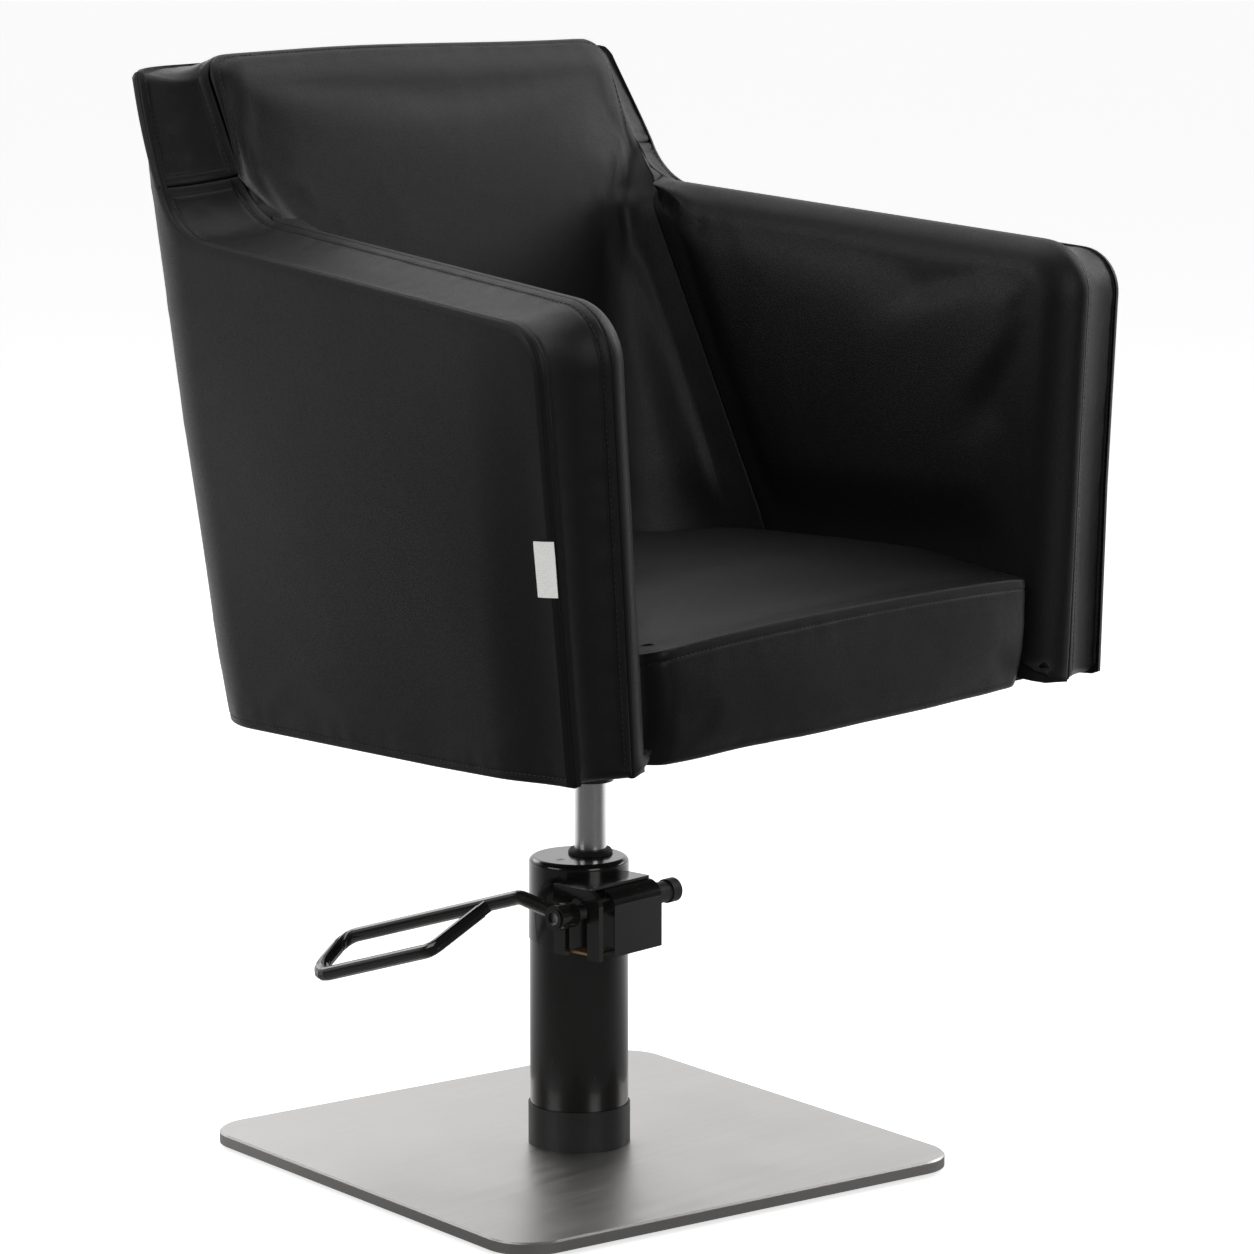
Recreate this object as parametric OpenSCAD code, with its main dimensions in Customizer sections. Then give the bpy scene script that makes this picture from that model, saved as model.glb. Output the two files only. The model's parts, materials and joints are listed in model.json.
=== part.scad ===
// Salon styling chair: an upholstered tub seat on a hydraulic column with a foot lever
// and a square base plate. Millimetres. The floor is z = 0, the swivel axis is the Z axis,
// and the seat faces -Y. The column and base stand beside the swivel axis, as on the real pump.

/* [Base] */
// Side of the square base plate
base_w = 450; // [380:5:560]
// Thickness of the base plate
base_t = 10; // [6:1:14]
// Corner radius of the base plate
base_corner_r = 38; // [20:1:60]
// Bevel on the top edge of the base plate
base_bevel = 1.5; // [0.5:0.5:3]
// Turn of the base plate against the seat, as it stands
base_turn = -11; // [-45:1:45]
// Radius of a plastic glide
glide_r = 11; // [8:1:16]
// Height of a plastic glide below the plate
glide_h = 4; // [3:0.5:6]
// Distance of a glide's centre from the plate's edges
glide_inset = 34; // [24:1:60]

/* [Column] */
// Outer radius of the reservoir tube
tube_r = 40.5; // [36:0.5:48]
// Wall of the reservoir tube
tube_wall = 3; // [2:0.5:4]
// Height of the foot ring around the tube's lower end
ring_h = 34; // [24:1:50]
// Wall of the foot ring
ring_wall = 1.4; // [1:0.2:3]
// Floor of the foot ring
ring_floor = 10; // [8:1:14]
// Height of the top of the cap above the base plate
cap_rise = 241; // [225:1:270]
// Height of the cap's outer wall
cap_h = 68; // [64:1:76]
// Edge radius at the top of the cap
cap_edge_r = 5; // [3:0.5:8]
// Distance from the swivel axis to the tube's axis
column_offset = 14; // [12:0.5:15]
// Radius of the chrome lift rod
rod_r = 13.4; // [12:0.2:15]
// Radial wall of the guide bush
bush_wall = 3.6; // [3:0.2:4.2]
// Height of the wiper collar above the cap
collar_rise = 4; // [3:0.5:6]
// Bore radius of the inner cylinder
cylinder_bore_r = 15.5; // [15.1:0.1:16]
// Wall of the inner cylinder
cylinder_wall = 3.4; // [2.4:0.2:4]
// Length of the piston
piston_len = 18; // [14:1:22]
// Travel of the seat downwards from the height shown
lift_down = 55; // [20:1:55]

/* [Foot lever] */
// Radius of the lever's round bar
bar_r = 6; // [5:0.5:7]
// Radius of the lever's shaft
axle_r = 6; // [5:0.5:7]
// Distance from the swivel axis forward to the shaft
axle_forward = 50; // [49:0.5:56]
// Height of the shaft above the base plate
axle_rise = 210; // [206:1:214]
// Reach of the lever's pedal loop behind the swivel axis
lever_reach = 196; // [150:1:240]
// Width of the pedal loop, centre to centre
loop_w = 40; // [30:1:60]
// Radius of the lever's hub
hub_r = 10.5; // [9:0.5:13]
// Length of the lever's hub
hub_len = 20; // [16:1:26]
// Length of the sheet metal housing
housing_len = 57; // [52:1:64]
// Depth of the housing, front to back
housing_depth = 50; // [44:1:56]
// Height of the housing
housing_h = 54; // [50:1:60]
// Thickness of the housing's sheet
sheet_t = 2.5; // [1.5:0.5:3]
// Thickness of the bracket's plate
bracket_t = 5; // [3:0.5:7]
// Radius of the shaft's end cap
end_cap_r = 10; // [8:0.5:12]
// Length of the shaft's end cap
end_cap_len = 42; // [20:1:50]

/* [Shell] */
// Height of the shell's lower front edge above the floor
floor_z = 396; // [370:1:420]
// Rise of the shell's lower edge towards the front
floor_slope = 2; // [0:0.5:4]
// Distance from the swivel axis to the front of the arms
shell_front = 287; // [260:1:320]
// Half width between the inner seams at the lower front corner
seam_half_w = 266; // [240:1:290]
// Narrowing of the arms towards the back
plan_taper = 8.15; // [4:0.05:12]
// Leaning out of the arms
flare = 4.28; // [0:0.02:7]
// Width of the border strip on the arms
border_w = 65; // [50:1:80]
// Height of the arm's top at the front corner above the floor
arm_front_z = 753; // [720:1:790]
// Height of the arm's top where the back rises
arm_back_z = 787; // [760:1:820]
// Radius of the arm's front corner
arm_corner_r = 48; // [30:1:60]
// Height of the back's top seam above the floor
back_top_z = 911; // [880:1:960]
// Distance behind the swivel axis of the back's top rear edge
back_rear = 258; // [240:1:290]
// Leaning of the rear panel
back_lean = 7.6; // [3:0.2:12]
// Rear corner radius of the shell
corner_r = 80; // [60:1:95]
// Thickness of the padded outer skins
skin_t = 8; // [5:0.5:12]
// Crown of the outer skins
skin_crown = 7; // [0:0.5:12]
// Crown of the border strips
border_crown = 5; // [0:0.5:8]
// Thickness of the inner padding inside the seam
pad_t = 30; // [20:1:40]

/* [Seat] */
// Distance from the swivel axis to the cushion's front
seat_front = 281; // [240:1:285]
// Height of the cushion's front seam above the floor
seat_seam_z = 488; // [460:1:500]
// Crown of the seat cushion
seat_crown = 14; // [6:1:24]
// Distance behind the swivel axis of the back's face at seat level
lumbar_y = 78; // [60:1:110]
// Leaning of the back's face
recline = 14.5; // [8:0.5:20]
// Inner corner radius at seat level
tub_r = 110; // [70:1:130]
// Thickness of the plywood seat board
board_t = 12; // [9:1:15]
// Thickness of the steel seat plate
seat_plate_t = 6; // [4:1:8]
// Width of the steel seat plate
seat_plate_w = 220; // [180:5:260]
// Depth of the steel seat plate
seat_plate_d = 180; // [140:5:220]

/* [Hidden] */

// Clearances and the overrun of every cut
run_gap = 0.05;
fit_gap = 0.1;
soft_gap = 0.5;
seam_gap = 1.2;
over = 1;
$fn = 64;
fine = 96;

// Heights of the stand
plate_z = glide_h;
plate_top = plate_z + base_t;
ring_r = tube_r + fit_gap + ring_wall;
cap_lap = 0.7;
cap_r = tube_r + cap_lap;
cap_top = plate_top + cap_rise;
cap_low = cap_top - cap_h;
spigot_h = 12;
spigot_r = tube_r - tube_wall - fit_gap;
ring_floor_top = plate_top + ring_floor;
cylinder_r = cylinder_bore_r + cylinder_wall;
bush_r = rod_r + run_gap + bush_wall;
collar_lip = 1.2;
collar_r = bush_r + collar_lip;
collar_h = 13;
collar_bevel = 2;
collar_draw = 1.5;
collar_z = cap_top + collar_rise - collar_h;
bush_len = 54;
bush_z = collar_z - bush_len;
plug_depth = 6;
plug_r = 4;
plug_share = 0.55;
plug_x = -column_offset - tube_r * plug_share;
glide_place = base_w / 2 - glide_inset;
glide_screw_r = 2;
glide_screw_len = 7;
glide_head_r = 4;
glide_head_h = 1;
bolt_circle_r = 25;
bolt_r = 5;
bolt_head_r = 9;
bolt_head_h = 5;
bolt_short = 2;
bolt_len = base_t + ring_floor - bolt_short;

// Heights of the lifting parts
end_room = 3;
piston_z = ring_floor_top + lift_down + end_room;
seal_h = 4;
seal_t = 1.5;
bearing_h = 4;
bearing_play = 0.5;
rod_z = piston_z + piston_len + bearing_h + fit_gap;
socket_room = 2;
socket_z = cap_top + collar_rise + lift_down + socket_room;
socket_r = 19.4;
socket_cap = 8;
board_lift = 2;
board_z = floor_z + board_lift;
seat_plate_z = board_z - seat_plate_t - fit_gap;
rod_top = seat_plate_z - socket_cap;
clamp_w = 24;
clamp_h = 34;
clamp_reach = 30;
clamp_screw_r = 4;
clamp_screw_head_r = 6.5;
clamp_screw_head_h = 4;
plate_bolt_r = 4;
plate_bolt_head_r = 7;
plate_bolt_head_h = 4.5;
plate_bolt_inset = 22;
plate_bolt_short = 1;

// Places of the lever and its housing
axle_z = plate_top + axle_rise;
axle_y = -axle_forward;
housing_right = 4;
housing_left = housing_right - housing_len;
bracket_gap = 14;
bracket_x = housing_left - bracket_gap - bracket_t;
housing_front = axle_y - housing_depth / 2;
housing_back = axle_y + housing_depth / 2;
housing_drop = 36;
housing_z = axle_z - housing_drop;
housing_edge_r = 14;
flange_t = 2.5;
bracket_h = housing_h + fit_gap + flange_t;
hub_gap = 6;
hub_nose = 1.5;
hub_nose_step = 2;
hub_screw_r = 2.5;
shaft_setback = 2;
shaft_play = 0.3;
hub_x = bracket_x - hub_gap - hub_len;
slot_r = 12;
ear_t = 11;
ear_gap = 20;
ear_r = 13;
block_clear = 2;
block_left = housing_left + sheet_t + block_clear;
cam_len = 12;
cam_clear = 0.2;
cam_room = 1;
cam_x = block_left + ear_t + ear_gap - cam_len - cam_clear;
cam_r = 8;
finger_h = 14;
finger_t = 6;
plunger_r = 2.9;
plunger_rise = 10.9;
plunger_len = 26;
plunger_stroke = 8;
plunger_x = cam_x + cam_len / 2;
plunger_y = axle_y + finger_t / 2 + fit_gap;
spring_wire_r = 1;
spring_turns = 2;
spring_gap = 0.3;
block_screw_r = 2.5;
block_screw_head_r = 4.2;
block_screw_head_h = 3;
block_screw_len = 42;
stop_t = 2;

// The lever's centre line, from the hub to the end of its loop
bend_y = -3;
bend_rise = 9;
bar_slope = 18;
bar_x = hub_x + hub_len / 2;
bar_end_z = axle_z + bend_rise - (lever_reach - bend_y) * tan(bar_slope);
loop_drop = 27;
loop_back_y = 59;
loop_join_y = 30;
loop_back_z = bar_end_z - loop_drop + (lever_reach - loop_back_y) * tan(bar_slope);
loop_join_z = axle_z + bend_rise - (loop_join_y - bend_y) * tan(bar_slope);
bend_r = 16;

// The shell's derived lines
front_y = -shell_front;
floor_rise = tan(floor_slope);
seam_step_y = 145;
seam_step_top_y = 204;
arm_fillet_r = 60;
back_corner_r = 24;
border_drop = 12;
border_set = 15;
outer_corner_r = 40;
outer_step_s = 178;
outer_step_top_s = 226;
back_edge_drop = 12;
border_depth = 8;
border_rim_share = 0.15;
seam_split = 50;
frame_t = 43;
frame_inset = 9;
back_frame_t = 30;
pad_back = 12;
pad_inset = 12;
tub_shrink = 0.27;
tub_min_r = 24;
seat_ref_z = 494;
lip = 30;

// A point part of the way between two points
function mix(a, b, s) = a + (b - a) * s;
// A value kept between two limits
function keep(v, low, high) = max(low, min(high, v));
// A smooth change from nought to one between two values
function ease(v, low, high) = let(s = keep((v - low) / (high - low), 0, 1)) s * s * (3 - 2 * s);
// A vector of length one
function unit(v) = v / norm(v);

// Points of a round corner at b, between the lines to a and c
function corner_arc(a, b, c, r, n) =
    let(
        u = unit(a - b),
        v = unit(c - b),
        half = acos(keep(u * v, -1, 1)) / 2,
        centre = b + unit(u + v) * r / sin(half),
        start = b + u * r / tan(half) - centre,
        finish = b + v * r / tan(half) - centre,
        turn = 180 - 2 * half
    )
    [for (i = [0 : n]) let(s = i / n)
        centre + (start * sin((1 - s) * turn) + finish * sin(s * turn)) / sin(turn)];

// Points that divide a line evenly, without its first point
function line_points(a, b, n) = [for (i = [1 : n]) mix(a, b, i / n)];

// Half width of the shell at the inner seam
function seam_x(y, z) = seam_half_w - (y - front_y) * tan(plan_taper) + (z - floor_z) * tan(flare);
// Half width of the shell at its outer skin
function outer_x(y, z) = seam_x(y, z) + border_w;
// Place of the rear panel at a height
function back_y(z) = back_rear - (back_top_z - z) * tan(back_lean);
// Centre of the rear corner at a height
function corner_centre(z) =
    let(cy = back_y(z) - corner_r)
    [outer_x(cy + corner_r * sin(plan_taper), z) - corner_r * cos(plan_taper), cy];
// Place on the outer skin, from the distance s measured along it from front to back
function outer_point(s, z) =
    let(
        c = corner_centre(z),
        start_y = c[1] + corner_r * sin(plan_taper),
        angle = plan_taper + (s - start_y) / corner_r * 180 / PI
    )
    s < start_y ? [outer_x(s, z), s, z]
    : angle < 90 ? [c[0] + corner_r * cos(angle), c[1] + corner_r * sin(angle), z]
    : [c[0] - (angle - 90) * PI / 180 * corner_r, back_y(z), z];
// The distance along the outer skin at which the rear corner has turned by an angle
function outer_turn_s(angle, z) =
    corner_centre(z)[1] + corner_r * sin(plan_taper) + (angle - plan_taper) * PI / 180 * corner_r;
// The shell's lower edge
function floor_at(y) = floor_z - (y - front_y) * floor_rise;

// The inner seam of an arm in side view, from the lower front corner to the cross seam
arm_inner_line = [
    [front_y, floor_z],
    [front_y, arm_front_z],
    [seam_step_y, arm_back_z],
    [seam_step_top_y, back_top_z]
];
// The outer seam of an arm, measured along the skin
arm_outer_line = [
    [front_y, floor_z + over],
    [front_y + border_set, arm_front_z - border_drop],
    [outer_step_s, arm_back_z - border_drop],
    [outer_step_top_s, back_top_z - back_edge_drop]
];
// A seam's points: the front, its round corner, the top, and the curve up to the cross seam
function arm_path(line, r_front) =
    let(
        first = corner_arc(line[0], line[1], line[2], r_front, 6),
        last = corner_arc(line[1], line[2], line[3], arm_fillet_r, 6)
    )
    concat([line[0]], line_points(line[0], first[0], 4), [for (i = [1 : 6]) first[i]],
        line_points(first[6], last[0], 6), [for (i = [1 : 6]) last[i]]);
arm_inner = arm_path(arm_inner_line, arm_corner_r);
arm_outer = arm_path(arm_outer_line, outer_corner_r);
arm_inner_3d = [for (p = arm_inner) [seam_x(p[0], p[1]), p[0], p[1]]];
arm_outer_3d = [for (p = arm_outer) outer_point(p[0], p[1])];

// The seams up the steps and over the back
back_edge_angle = 43;
step_inner_start = arm_inner_3d[len(arm_inner_3d) - 1];
step_outer_start = arm_outer[len(arm_outer) - 1];
top_inner_corner = [seam_x(seam_step_top_y, back_top_z), seam_step_top_y, back_top_z];
top_inner_mid = [0, seam_step_top_y, back_top_z];
top_inner_arc = corner_arc(step_inner_start, top_inner_corner, top_inner_mid, back_corner_r, 6);
top_outer_z = back_top_z - back_edge_drop;
function top_outer(angle) = outer_point(outer_turn_s(angle, top_outer_z), top_outer_z);
step_outer_end = [outer_turn_s(back_edge_angle, top_outer_z) - over * 2, top_outer_z - border_depth];
function step_place(s) = mix(step_outer_start, step_outer_end, s);
function step_outer(s) = outer_point(step_place(s)[0], step_place(s)[1]);
top_outer_end = top_outer(90);
border_inner_start = step_inner_start + unit(top_inner_arc[0] - step_inner_start) * seam_gap;
border_half_inner = concat([border_inner_start], line_points(border_inner_start, top_inner_arc[0], 3),
    [for (i = [1 : 6]) top_inner_arc[i]], line_points(top_inner_arc[6], top_inner_mid, 5));
border_half_outer = concat([step_outer(0.02)], [for (i = [1 : 3]) step_outer(i / 3)],
    [for (i = [1 : 6]) top_outer(mix(back_edge_angle, 90, i / 6))],
    line_points(top_outer_end, [0, top_outer_end[1], top_outer_end[2]], 5));

// Height of the inner seam above a place y, for the arm's top and front corner
arm_slope = (arm_back_z - arm_front_z) / (seam_step_y - front_y);
arm_corner_y = front_y + arm_corner_r;
arm_corner_z = lookup(arm_corner_y, arm_inner) - arm_corner_r;
function arm_top(y) = y < arm_corner_y
    ? arm_corner_z + sqrt(max(0, arm_corner_r ^ 2 - (arm_corner_y - y) ^ 2))
    : lookup(y, arm_inner);
// Distance of a place on the arm's side from the seam that runs round it
function seam_distance(y, z) = (y < arm_corner_y && z > arm_corner_z)
    ? arm_corner_r - norm([y - arm_corner_y, z - arm_corner_z])
    : min(y - front_y, arm_top(y) - z);
// How far a round edge has risen at a distance from its seam
function edge_rise(d) = sqrt(max(0, 1 - (1 - keep(d / lip, 0, 1)) ^ 2));

// The back's inner face at a height, and the radius of the tub's corner there
function face_y(z) = lumbar_y + (z - seat_ref_z) * tan(recline);
function tub_at(z) = keep(tub_r - (z - seat_ref_z) * tub_shrink, tub_min_r, tub_r);
// Half width between the arm pads' faces
function pad_x(y, z) = seam_x(y, z) - pad_t;
// Centre of the tub's corner at a height
function tub_centre(z) =
    let(r = tub_at(z), cy = face_y(z) - r)
    [pad_x(cy + r * sin(plan_taper), z) - r * cos(plan_taper), cy];
// Place y at which the arm pad ends and the tub's corner starts
function pad_end(z) = tub_centre(z)[1] + tub_at(z) * sin(plan_taper);
// Place of the back pad's rear face
function pad_rear(z) = back_y(z) - skin_t - back_frame_t - soft_gap * 2;

// A closed solid between two grids of points of the same size
module slab(front, rear) {
    n = len(front);
    m = len(front[0]);
    flat = concat([for (r = front) each r], [for (r = rear) each r]);
    k = n * m;
    cells = [for (i = [0 : n - 2]) for (j = [0 : m - 2]) i * m + j];
    polyhedron(points = flat, faces = concat(
        [for (c = cells) [c, c + 1, c + m]],
        [for (c = cells) [c + 1, c + m + 1, c + m]],
        [for (c = cells) [k + c, k + c + m, k + c + 1]],
        [for (c = cells) [k + c + 1, k + c + m, k + c + m + 1]],
        [for (i = [0 : n - 2]) [i * m, (i + 1) * m, k + i * m]],
        [for (i = [0 : n - 2]) [(i + 1) * m, k + (i + 1) * m, k + i * m]],
        [for (i = [0 : n - 2]) let(a = i * m + m - 1) [a, k + a, a + m]],
        [for (i = [0 : n - 2]) let(a = i * m + m - 1) [a + m, k + a, k + a + m]],
        [for (j = [0 : m - 2]) [j, k + j, j + 1]],
        [for (j = [0 : m - 2]) [j + 1, k + j, k + j + 1]],
        [for (j = [0 : m - 2]) let(a = (n - 1) * m + j) [a, a + 1, k + a]],
        [for (j = [0 : m - 2]) let(a = (n - 1) * m + j) [a + 1, k + a + 1, k + a]]
    ));
}

// The border strip's section at each station between an inner and an outer seam
crown_shares = [0, 0.12, 0.36, 0.64, 0.88, 1];
function strip_rows(inner, outer) = [for (i = [0 : len(inner) - 1])
    let(
        a = max(0, i - 1),
        b = min(len(inner) - 1, i + 1),
        along = unit(inner[b] + outer[b] - inner[a] - outer[a]),
        across = unit(outer[i] - inner[i]),
        out = unit(cross(along, across))
    )
    [inner[i], outer[i], out]];
function strip_face(rows) = [for (r = rows) [for (s = crown_shares)
    mix(r[0], r[1], s) + r[2] * border_crown * 4 * s * (1 - s)]];
function strip_rear(rows) = [for (r = rows) [for (s = crown_shares)
    mix(r[0], r[1], border_rim_share + s * (1 - 2 * border_rim_share)) - r[2] * border_depth]];

// A round bar swept along a line of points
bar_sides = 16;
module bar(points, r) {
    n = len(points);
    up = [0, 0, 1];
    rings = [for (i = [0 : n - 1])
        let(
            d = unit(points[min(n - 1, i + 1)] - points[max(0, i - 1)]),
            u = unit(cross(up, d)),
            v = cross(d, u)
        )
        for (j = [0 : bar_sides - 1]) let(t = j * 360 / bar_sides) points[i] + r * (u * cos(t) + v * sin(t))];
    last = (n - 1) * bar_sides;
    wrap = [for (j = [0 : bar_sides - 1]) (j + 1) % bar_sides];
    starts = [for (i = [0 : n - 2]) i * bar_sides];
    polyhedron(points = rings, faces = concat(
        [for (a = starts) for (j = [0 : bar_sides - 1]) [a + j, a + bar_sides + j, a + wrap[j]]],
        [for (a = starts) for (j = [0 : bar_sides - 1])
            [a + wrap[j], a + bar_sides + j, a + bar_sides + wrap[j]]],
        [[for (j = [0 : bar_sides - 1]) j]],
        [[for (j = [bar_sides - 1 : -1 : 0]) last + j]]
    ));
}

// Places of the column and of the base under it
module column() { translate([-column_offset, 0, 0]) children(); }
module base() { column() rotate([0, 0, base_turn]) children(); }
// One copy in each quarter
module corners(x, y) {
    for (sx = [-1, 1], sy = [-1, 1]) translate([sx * x, sy * y, 0]) children();
}

// Base plate with its bevelled top edge
module bevel_prism(length, across) {
    half = across / 2;
    rotate([90, 0, 0])
        translate([0, 0, -length / 2])
            linear_extrude(length)
                polygon([[-half, 0], [half, 0], [half, base_t - base_bevel],
                    [half - base_bevel, base_t], [base_bevel - half, base_t],
                    [-half, base_t - base_bevel]]);
}

module base_plate() {
    color([0.72, 0.71, 0.7])
    base() translate([0, 0, plate_z]) difference() {
        union() {
            bevel_prism(base_w - 2 * base_corner_r, base_w);
            rotate([0, 0, 90]) bevel_prism(base_w - 2 * base_corner_r, base_w);
            corners(base_w / 2 - base_corner_r, base_w / 2 - base_corner_r) {
                cylinder(h = base_t - base_bevel, r = base_corner_r, $fn = fine);
                translate([0, 0, base_t - base_bevel])
                    cylinder(h = base_bevel, r1 = base_corner_r, r2 = base_corner_r - base_bevel, $fn = fine);
            }
        }
        corners(bolt_circle_r, bolt_circle_r) {
            translate([0, 0, -over]) cylinder(h = base_t + 2 * over, r = bolt_r + fit_gap);
            translate([0, 0, -over]) cylinder(h = bolt_head_h + over + fit_gap, r = bolt_head_r + fit_gap);
        }
        corners(glide_place, glide_place)
            translate([0, 0, -over])
                cylinder(h = glide_screw_len + over - glide_h / 2, r = glide_screw_r + fit_gap);
    }
}

// Plastic glides under the plate's corners
module base_glides() {
    color([0.06, 0.06, 0.06])
    base() corners(glide_place, glide_place) difference() {
        cylinder(h = glide_h, r = glide_r);
        translate([0, 0, glide_h / 2]) cylinder(h = glide_h, r = glide_screw_r + fit_gap);
        translate([0, 0, glide_h / 2]) cylinder(h = glide_head_h, r = glide_head_r);
    }
}

// Screws that hold the glides
module glide_screws() {
    color([0.6, 0.6, 0.6])
    base() corners(glide_place, glide_place) translate([0, 0, glide_h / 2]) {
        cylinder(h = glide_screw_len - glide_h / 2, r = glide_screw_r);
        cylinder(h = glide_head_h - fit_gap, r = glide_head_r - fit_gap);
    }
}

// Bolts through the plate into the foot ring
module flange_bolts() {
    color([0.35, 0.35, 0.36])
    base() corners(bolt_circle_r, bolt_circle_r) translate([0, 0, plate_z]) {
        cylinder(h = bolt_len, r = bolt_r);
        cylinder(h = bolt_head_h, r = bolt_head_r);
    }
}

// Matt ring with a floor, which takes the tube's lower end
module foot_ring() {
    color([0.05, 0.05, 0.05])
    column() translate([0, 0, plate_top]) difference() {
        cylinder(h = ring_h, r = ring_r, $fn = fine);
        translate([0, 0, ring_floor]) cylinder(h = ring_h, r = tube_r + fit_gap, $fn = fine);
        rotate([0, 0, base_turn]) corners(bolt_circle_r, bolt_circle_r)
            translate([0, 0, -over]) cylinder(h = bolt_len - base_t + over + fit_gap, r = bolt_r + fit_gap);
    }
}

// Outer tube, which holds the oil
module reservoir_tube() {
    color([0.08, 0.075, 0.07])
    column() translate([0, 0, ring_floor_top]) difference() {
        cylinder(h = cap_low - ring_floor_top, r = tube_r, $fn = fine);
        translate([0, 0, -over])
            cylinder(h = cap_low - ring_floor_top + 2 * over, r = tube_r - tube_wall, $fn = fine);
    }
}

// Inner cylinder, in which the piston rises
module inner_cylinder() {
    height = bush_z - ring_floor_top - fit_gap;
    color([0.55, 0.55, 0.56])
    translate([0, 0, ring_floor_top]) difference() {
        cylinder(h = height, r = cylinder_r);
        translate([0, 0, -over]) cylinder(h = height + 2 * over, r = cylinder_bore_r);
    }
}

// Cast cap with its spigot, the rod's bearing bore and the plunger's bore
module pump_cap() {
    color([0.03, 0.03, 0.03])
    difference() {
        column() {
            translate([0, 0, cap_low]) rotate_extrude($fn = fine) cap_profile();
            translate([0, 0, cap_low - spigot_h]) cylinder(h = spigot_h + over, r = spigot_r, $fn = fine);
        }
        translate([0, 0, cap_low - spigot_h - over])
            cylinder(h = bush_z - cap_low + spigot_h + over, r = cylinder_r + fit_gap);
        cylinder(h = cap_top + over, r = bush_r + fit_gap);
        translate([0, 0, collar_z]) cylinder(h = collar_h, r = collar_r + fit_gap);
        translate([plunger_x, plunger_y, axle_z + plunger_rise]) rotate([-90, 0, 0])
            cylinder(h = plunger_len + plunger_stroke, r = plunger_r + run_gap);
        translate([plug_x, 0, cap_top - plug_depth]) cylinder(h = plug_depth + over, r = plug_r);
        block_holes();
    }
}
module cap_profile() {
    square([cap_r - cap_edge_r, cap_h]);
    square([cap_r, cap_h - cap_edge_r]);
    translate([cap_r - cap_edge_r, cap_h - cap_edge_r]) circle(r = cap_edge_r, $fn = 32);
}

// Slotted filler plug in the cap's top
module cap_plug() {
    color([0.1, 0.1, 0.1])
    translate([plug_x, 0, cap_top - plug_depth]) difference() {
        cylinder(h = plug_depth, r = plug_r - run_gap);
        translate([-plug_r, -plug_r / 6, plug_depth / 2]) cube([plug_r * 2, plug_r / 3, plug_depth]);
    }
}

// Bronze bush that guides the rod
module guide_bush() {
    color([0.66, 0.5, 0.26])
    translate([0, 0, bush_z]) difference() {
        cylinder(h = bush_len, r = bush_r);
        translate([0, 0, -over]) cylinder(h = bush_len + 2 * over, r = rod_r + run_gap);
    }
}

// Wiper collar round the rod
module rod_collar() {
    color([0.03, 0.03, 0.03])
    translate([0, 0, collar_z]) difference() {
        union() {
            cylinder(h = collar_h - collar_bevel, r = collar_r);
            translate([0, 0, collar_h - collar_bevel])
                cylinder(h = collar_bevel, r1 = collar_r, r2 = collar_r - collar_draw);
        }
        translate([0, 0, -over]) cylinder(h = collar_h + 2 * over, r = rod_r + run_gap);
    }
}

// Piston, its seal and the bearing on which the rod turns
module lift_piston() {
    color([0.6, 0.6, 0.62])
    translate([0, 0, piston_z]) difference() {
        cylinder(h = piston_len, r = cylinder_bore_r - run_gap);
        translate([0, 0, (piston_len - seal_h) / 2]) difference() {
            cylinder(h = seal_h, r = cylinder_bore_r + over);
            cylinder(h = seal_h, r = cylinder_bore_r - seal_t);
        }
    }
}

module piston_seal() {
    color([0.05, 0.05, 0.05])
    translate([0, 0, piston_z + (piston_len - seal_h) / 2 + fit_gap / 2]) difference() {
        cylinder(h = seal_h - fit_gap, r = cylinder_bore_r - run_gap);
        translate([0, 0, -over]) cylinder(h = seal_h + 2 * over, r = cylinder_bore_r - seal_t);
    }
}

module thrust_bearing() {
    color([0.7, 0.7, 0.7])
    translate([0, 0, piston_z + piston_len]) difference() {
        cylinder(h = bearing_h, r = rod_r - bearing_play);
        translate([0, 0, -over]) cylinder(h = bearing_h + 2 * over, r = rod_r / 3);
    }
}

// Chrome rod that carries the seat
module lift_rod() {
    color([0.82, 0.82, 0.83])
    translate([0, 0, rod_z]) cylinder(h = rod_top - rod_z, r = rod_r, $fn = fine);
}

// Socket under the seat plate that takes the rod
module rod_socket() {
    color([0.04, 0.04, 0.04])
    difference() {
        translate([0, 0, socket_z]) cylinder(h = seat_plate_z - socket_z, r = socket_r);
        translate([0, 0, socket_z - over])
            cylinder(h = rod_top - socket_z + over + fit_gap, r = rod_r + run_gap);
        socket_clamp_hole();
    }
}

module socket_clamp_hole() {
    translate([rod_r - over, 0, socket_z + clamp_h / 2]) rotate([0, 90, 0])
        cylinder(h = clamp_reach * 2, r = clamp_screw_r + fit_gap);
}

// Block at the socket's side that holds the clamp screw
module socket_clamp() {
    color([0.05, 0.05, 0.05])
    difference() {
        translate([socket_r / 2, -clamp_w / 2, socket_z])
            cube([clamp_reach - socket_r / 2, clamp_w, clamp_h]);
        translate([0, 0, socket_z - over]) cylinder(h = clamp_h + 2 * over, r = socket_r + fit_gap);
        socket_clamp_hole();
    }
}

module clamp_screw() {
    color([0.3, 0.3, 0.31])
    translate([rod_r + 2 * run_gap, 0, socket_z + clamp_h / 2]) rotate([0, 90, 0]) {
        cylinder(h = clamp_reach - rod_r, r = clamp_screw_r);
        translate([0, 0, clamp_reach - rod_r])
            cylinder(h = clamp_screw_head_h, r = clamp_screw_head_r, $fn = 6);
    }
}

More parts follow.
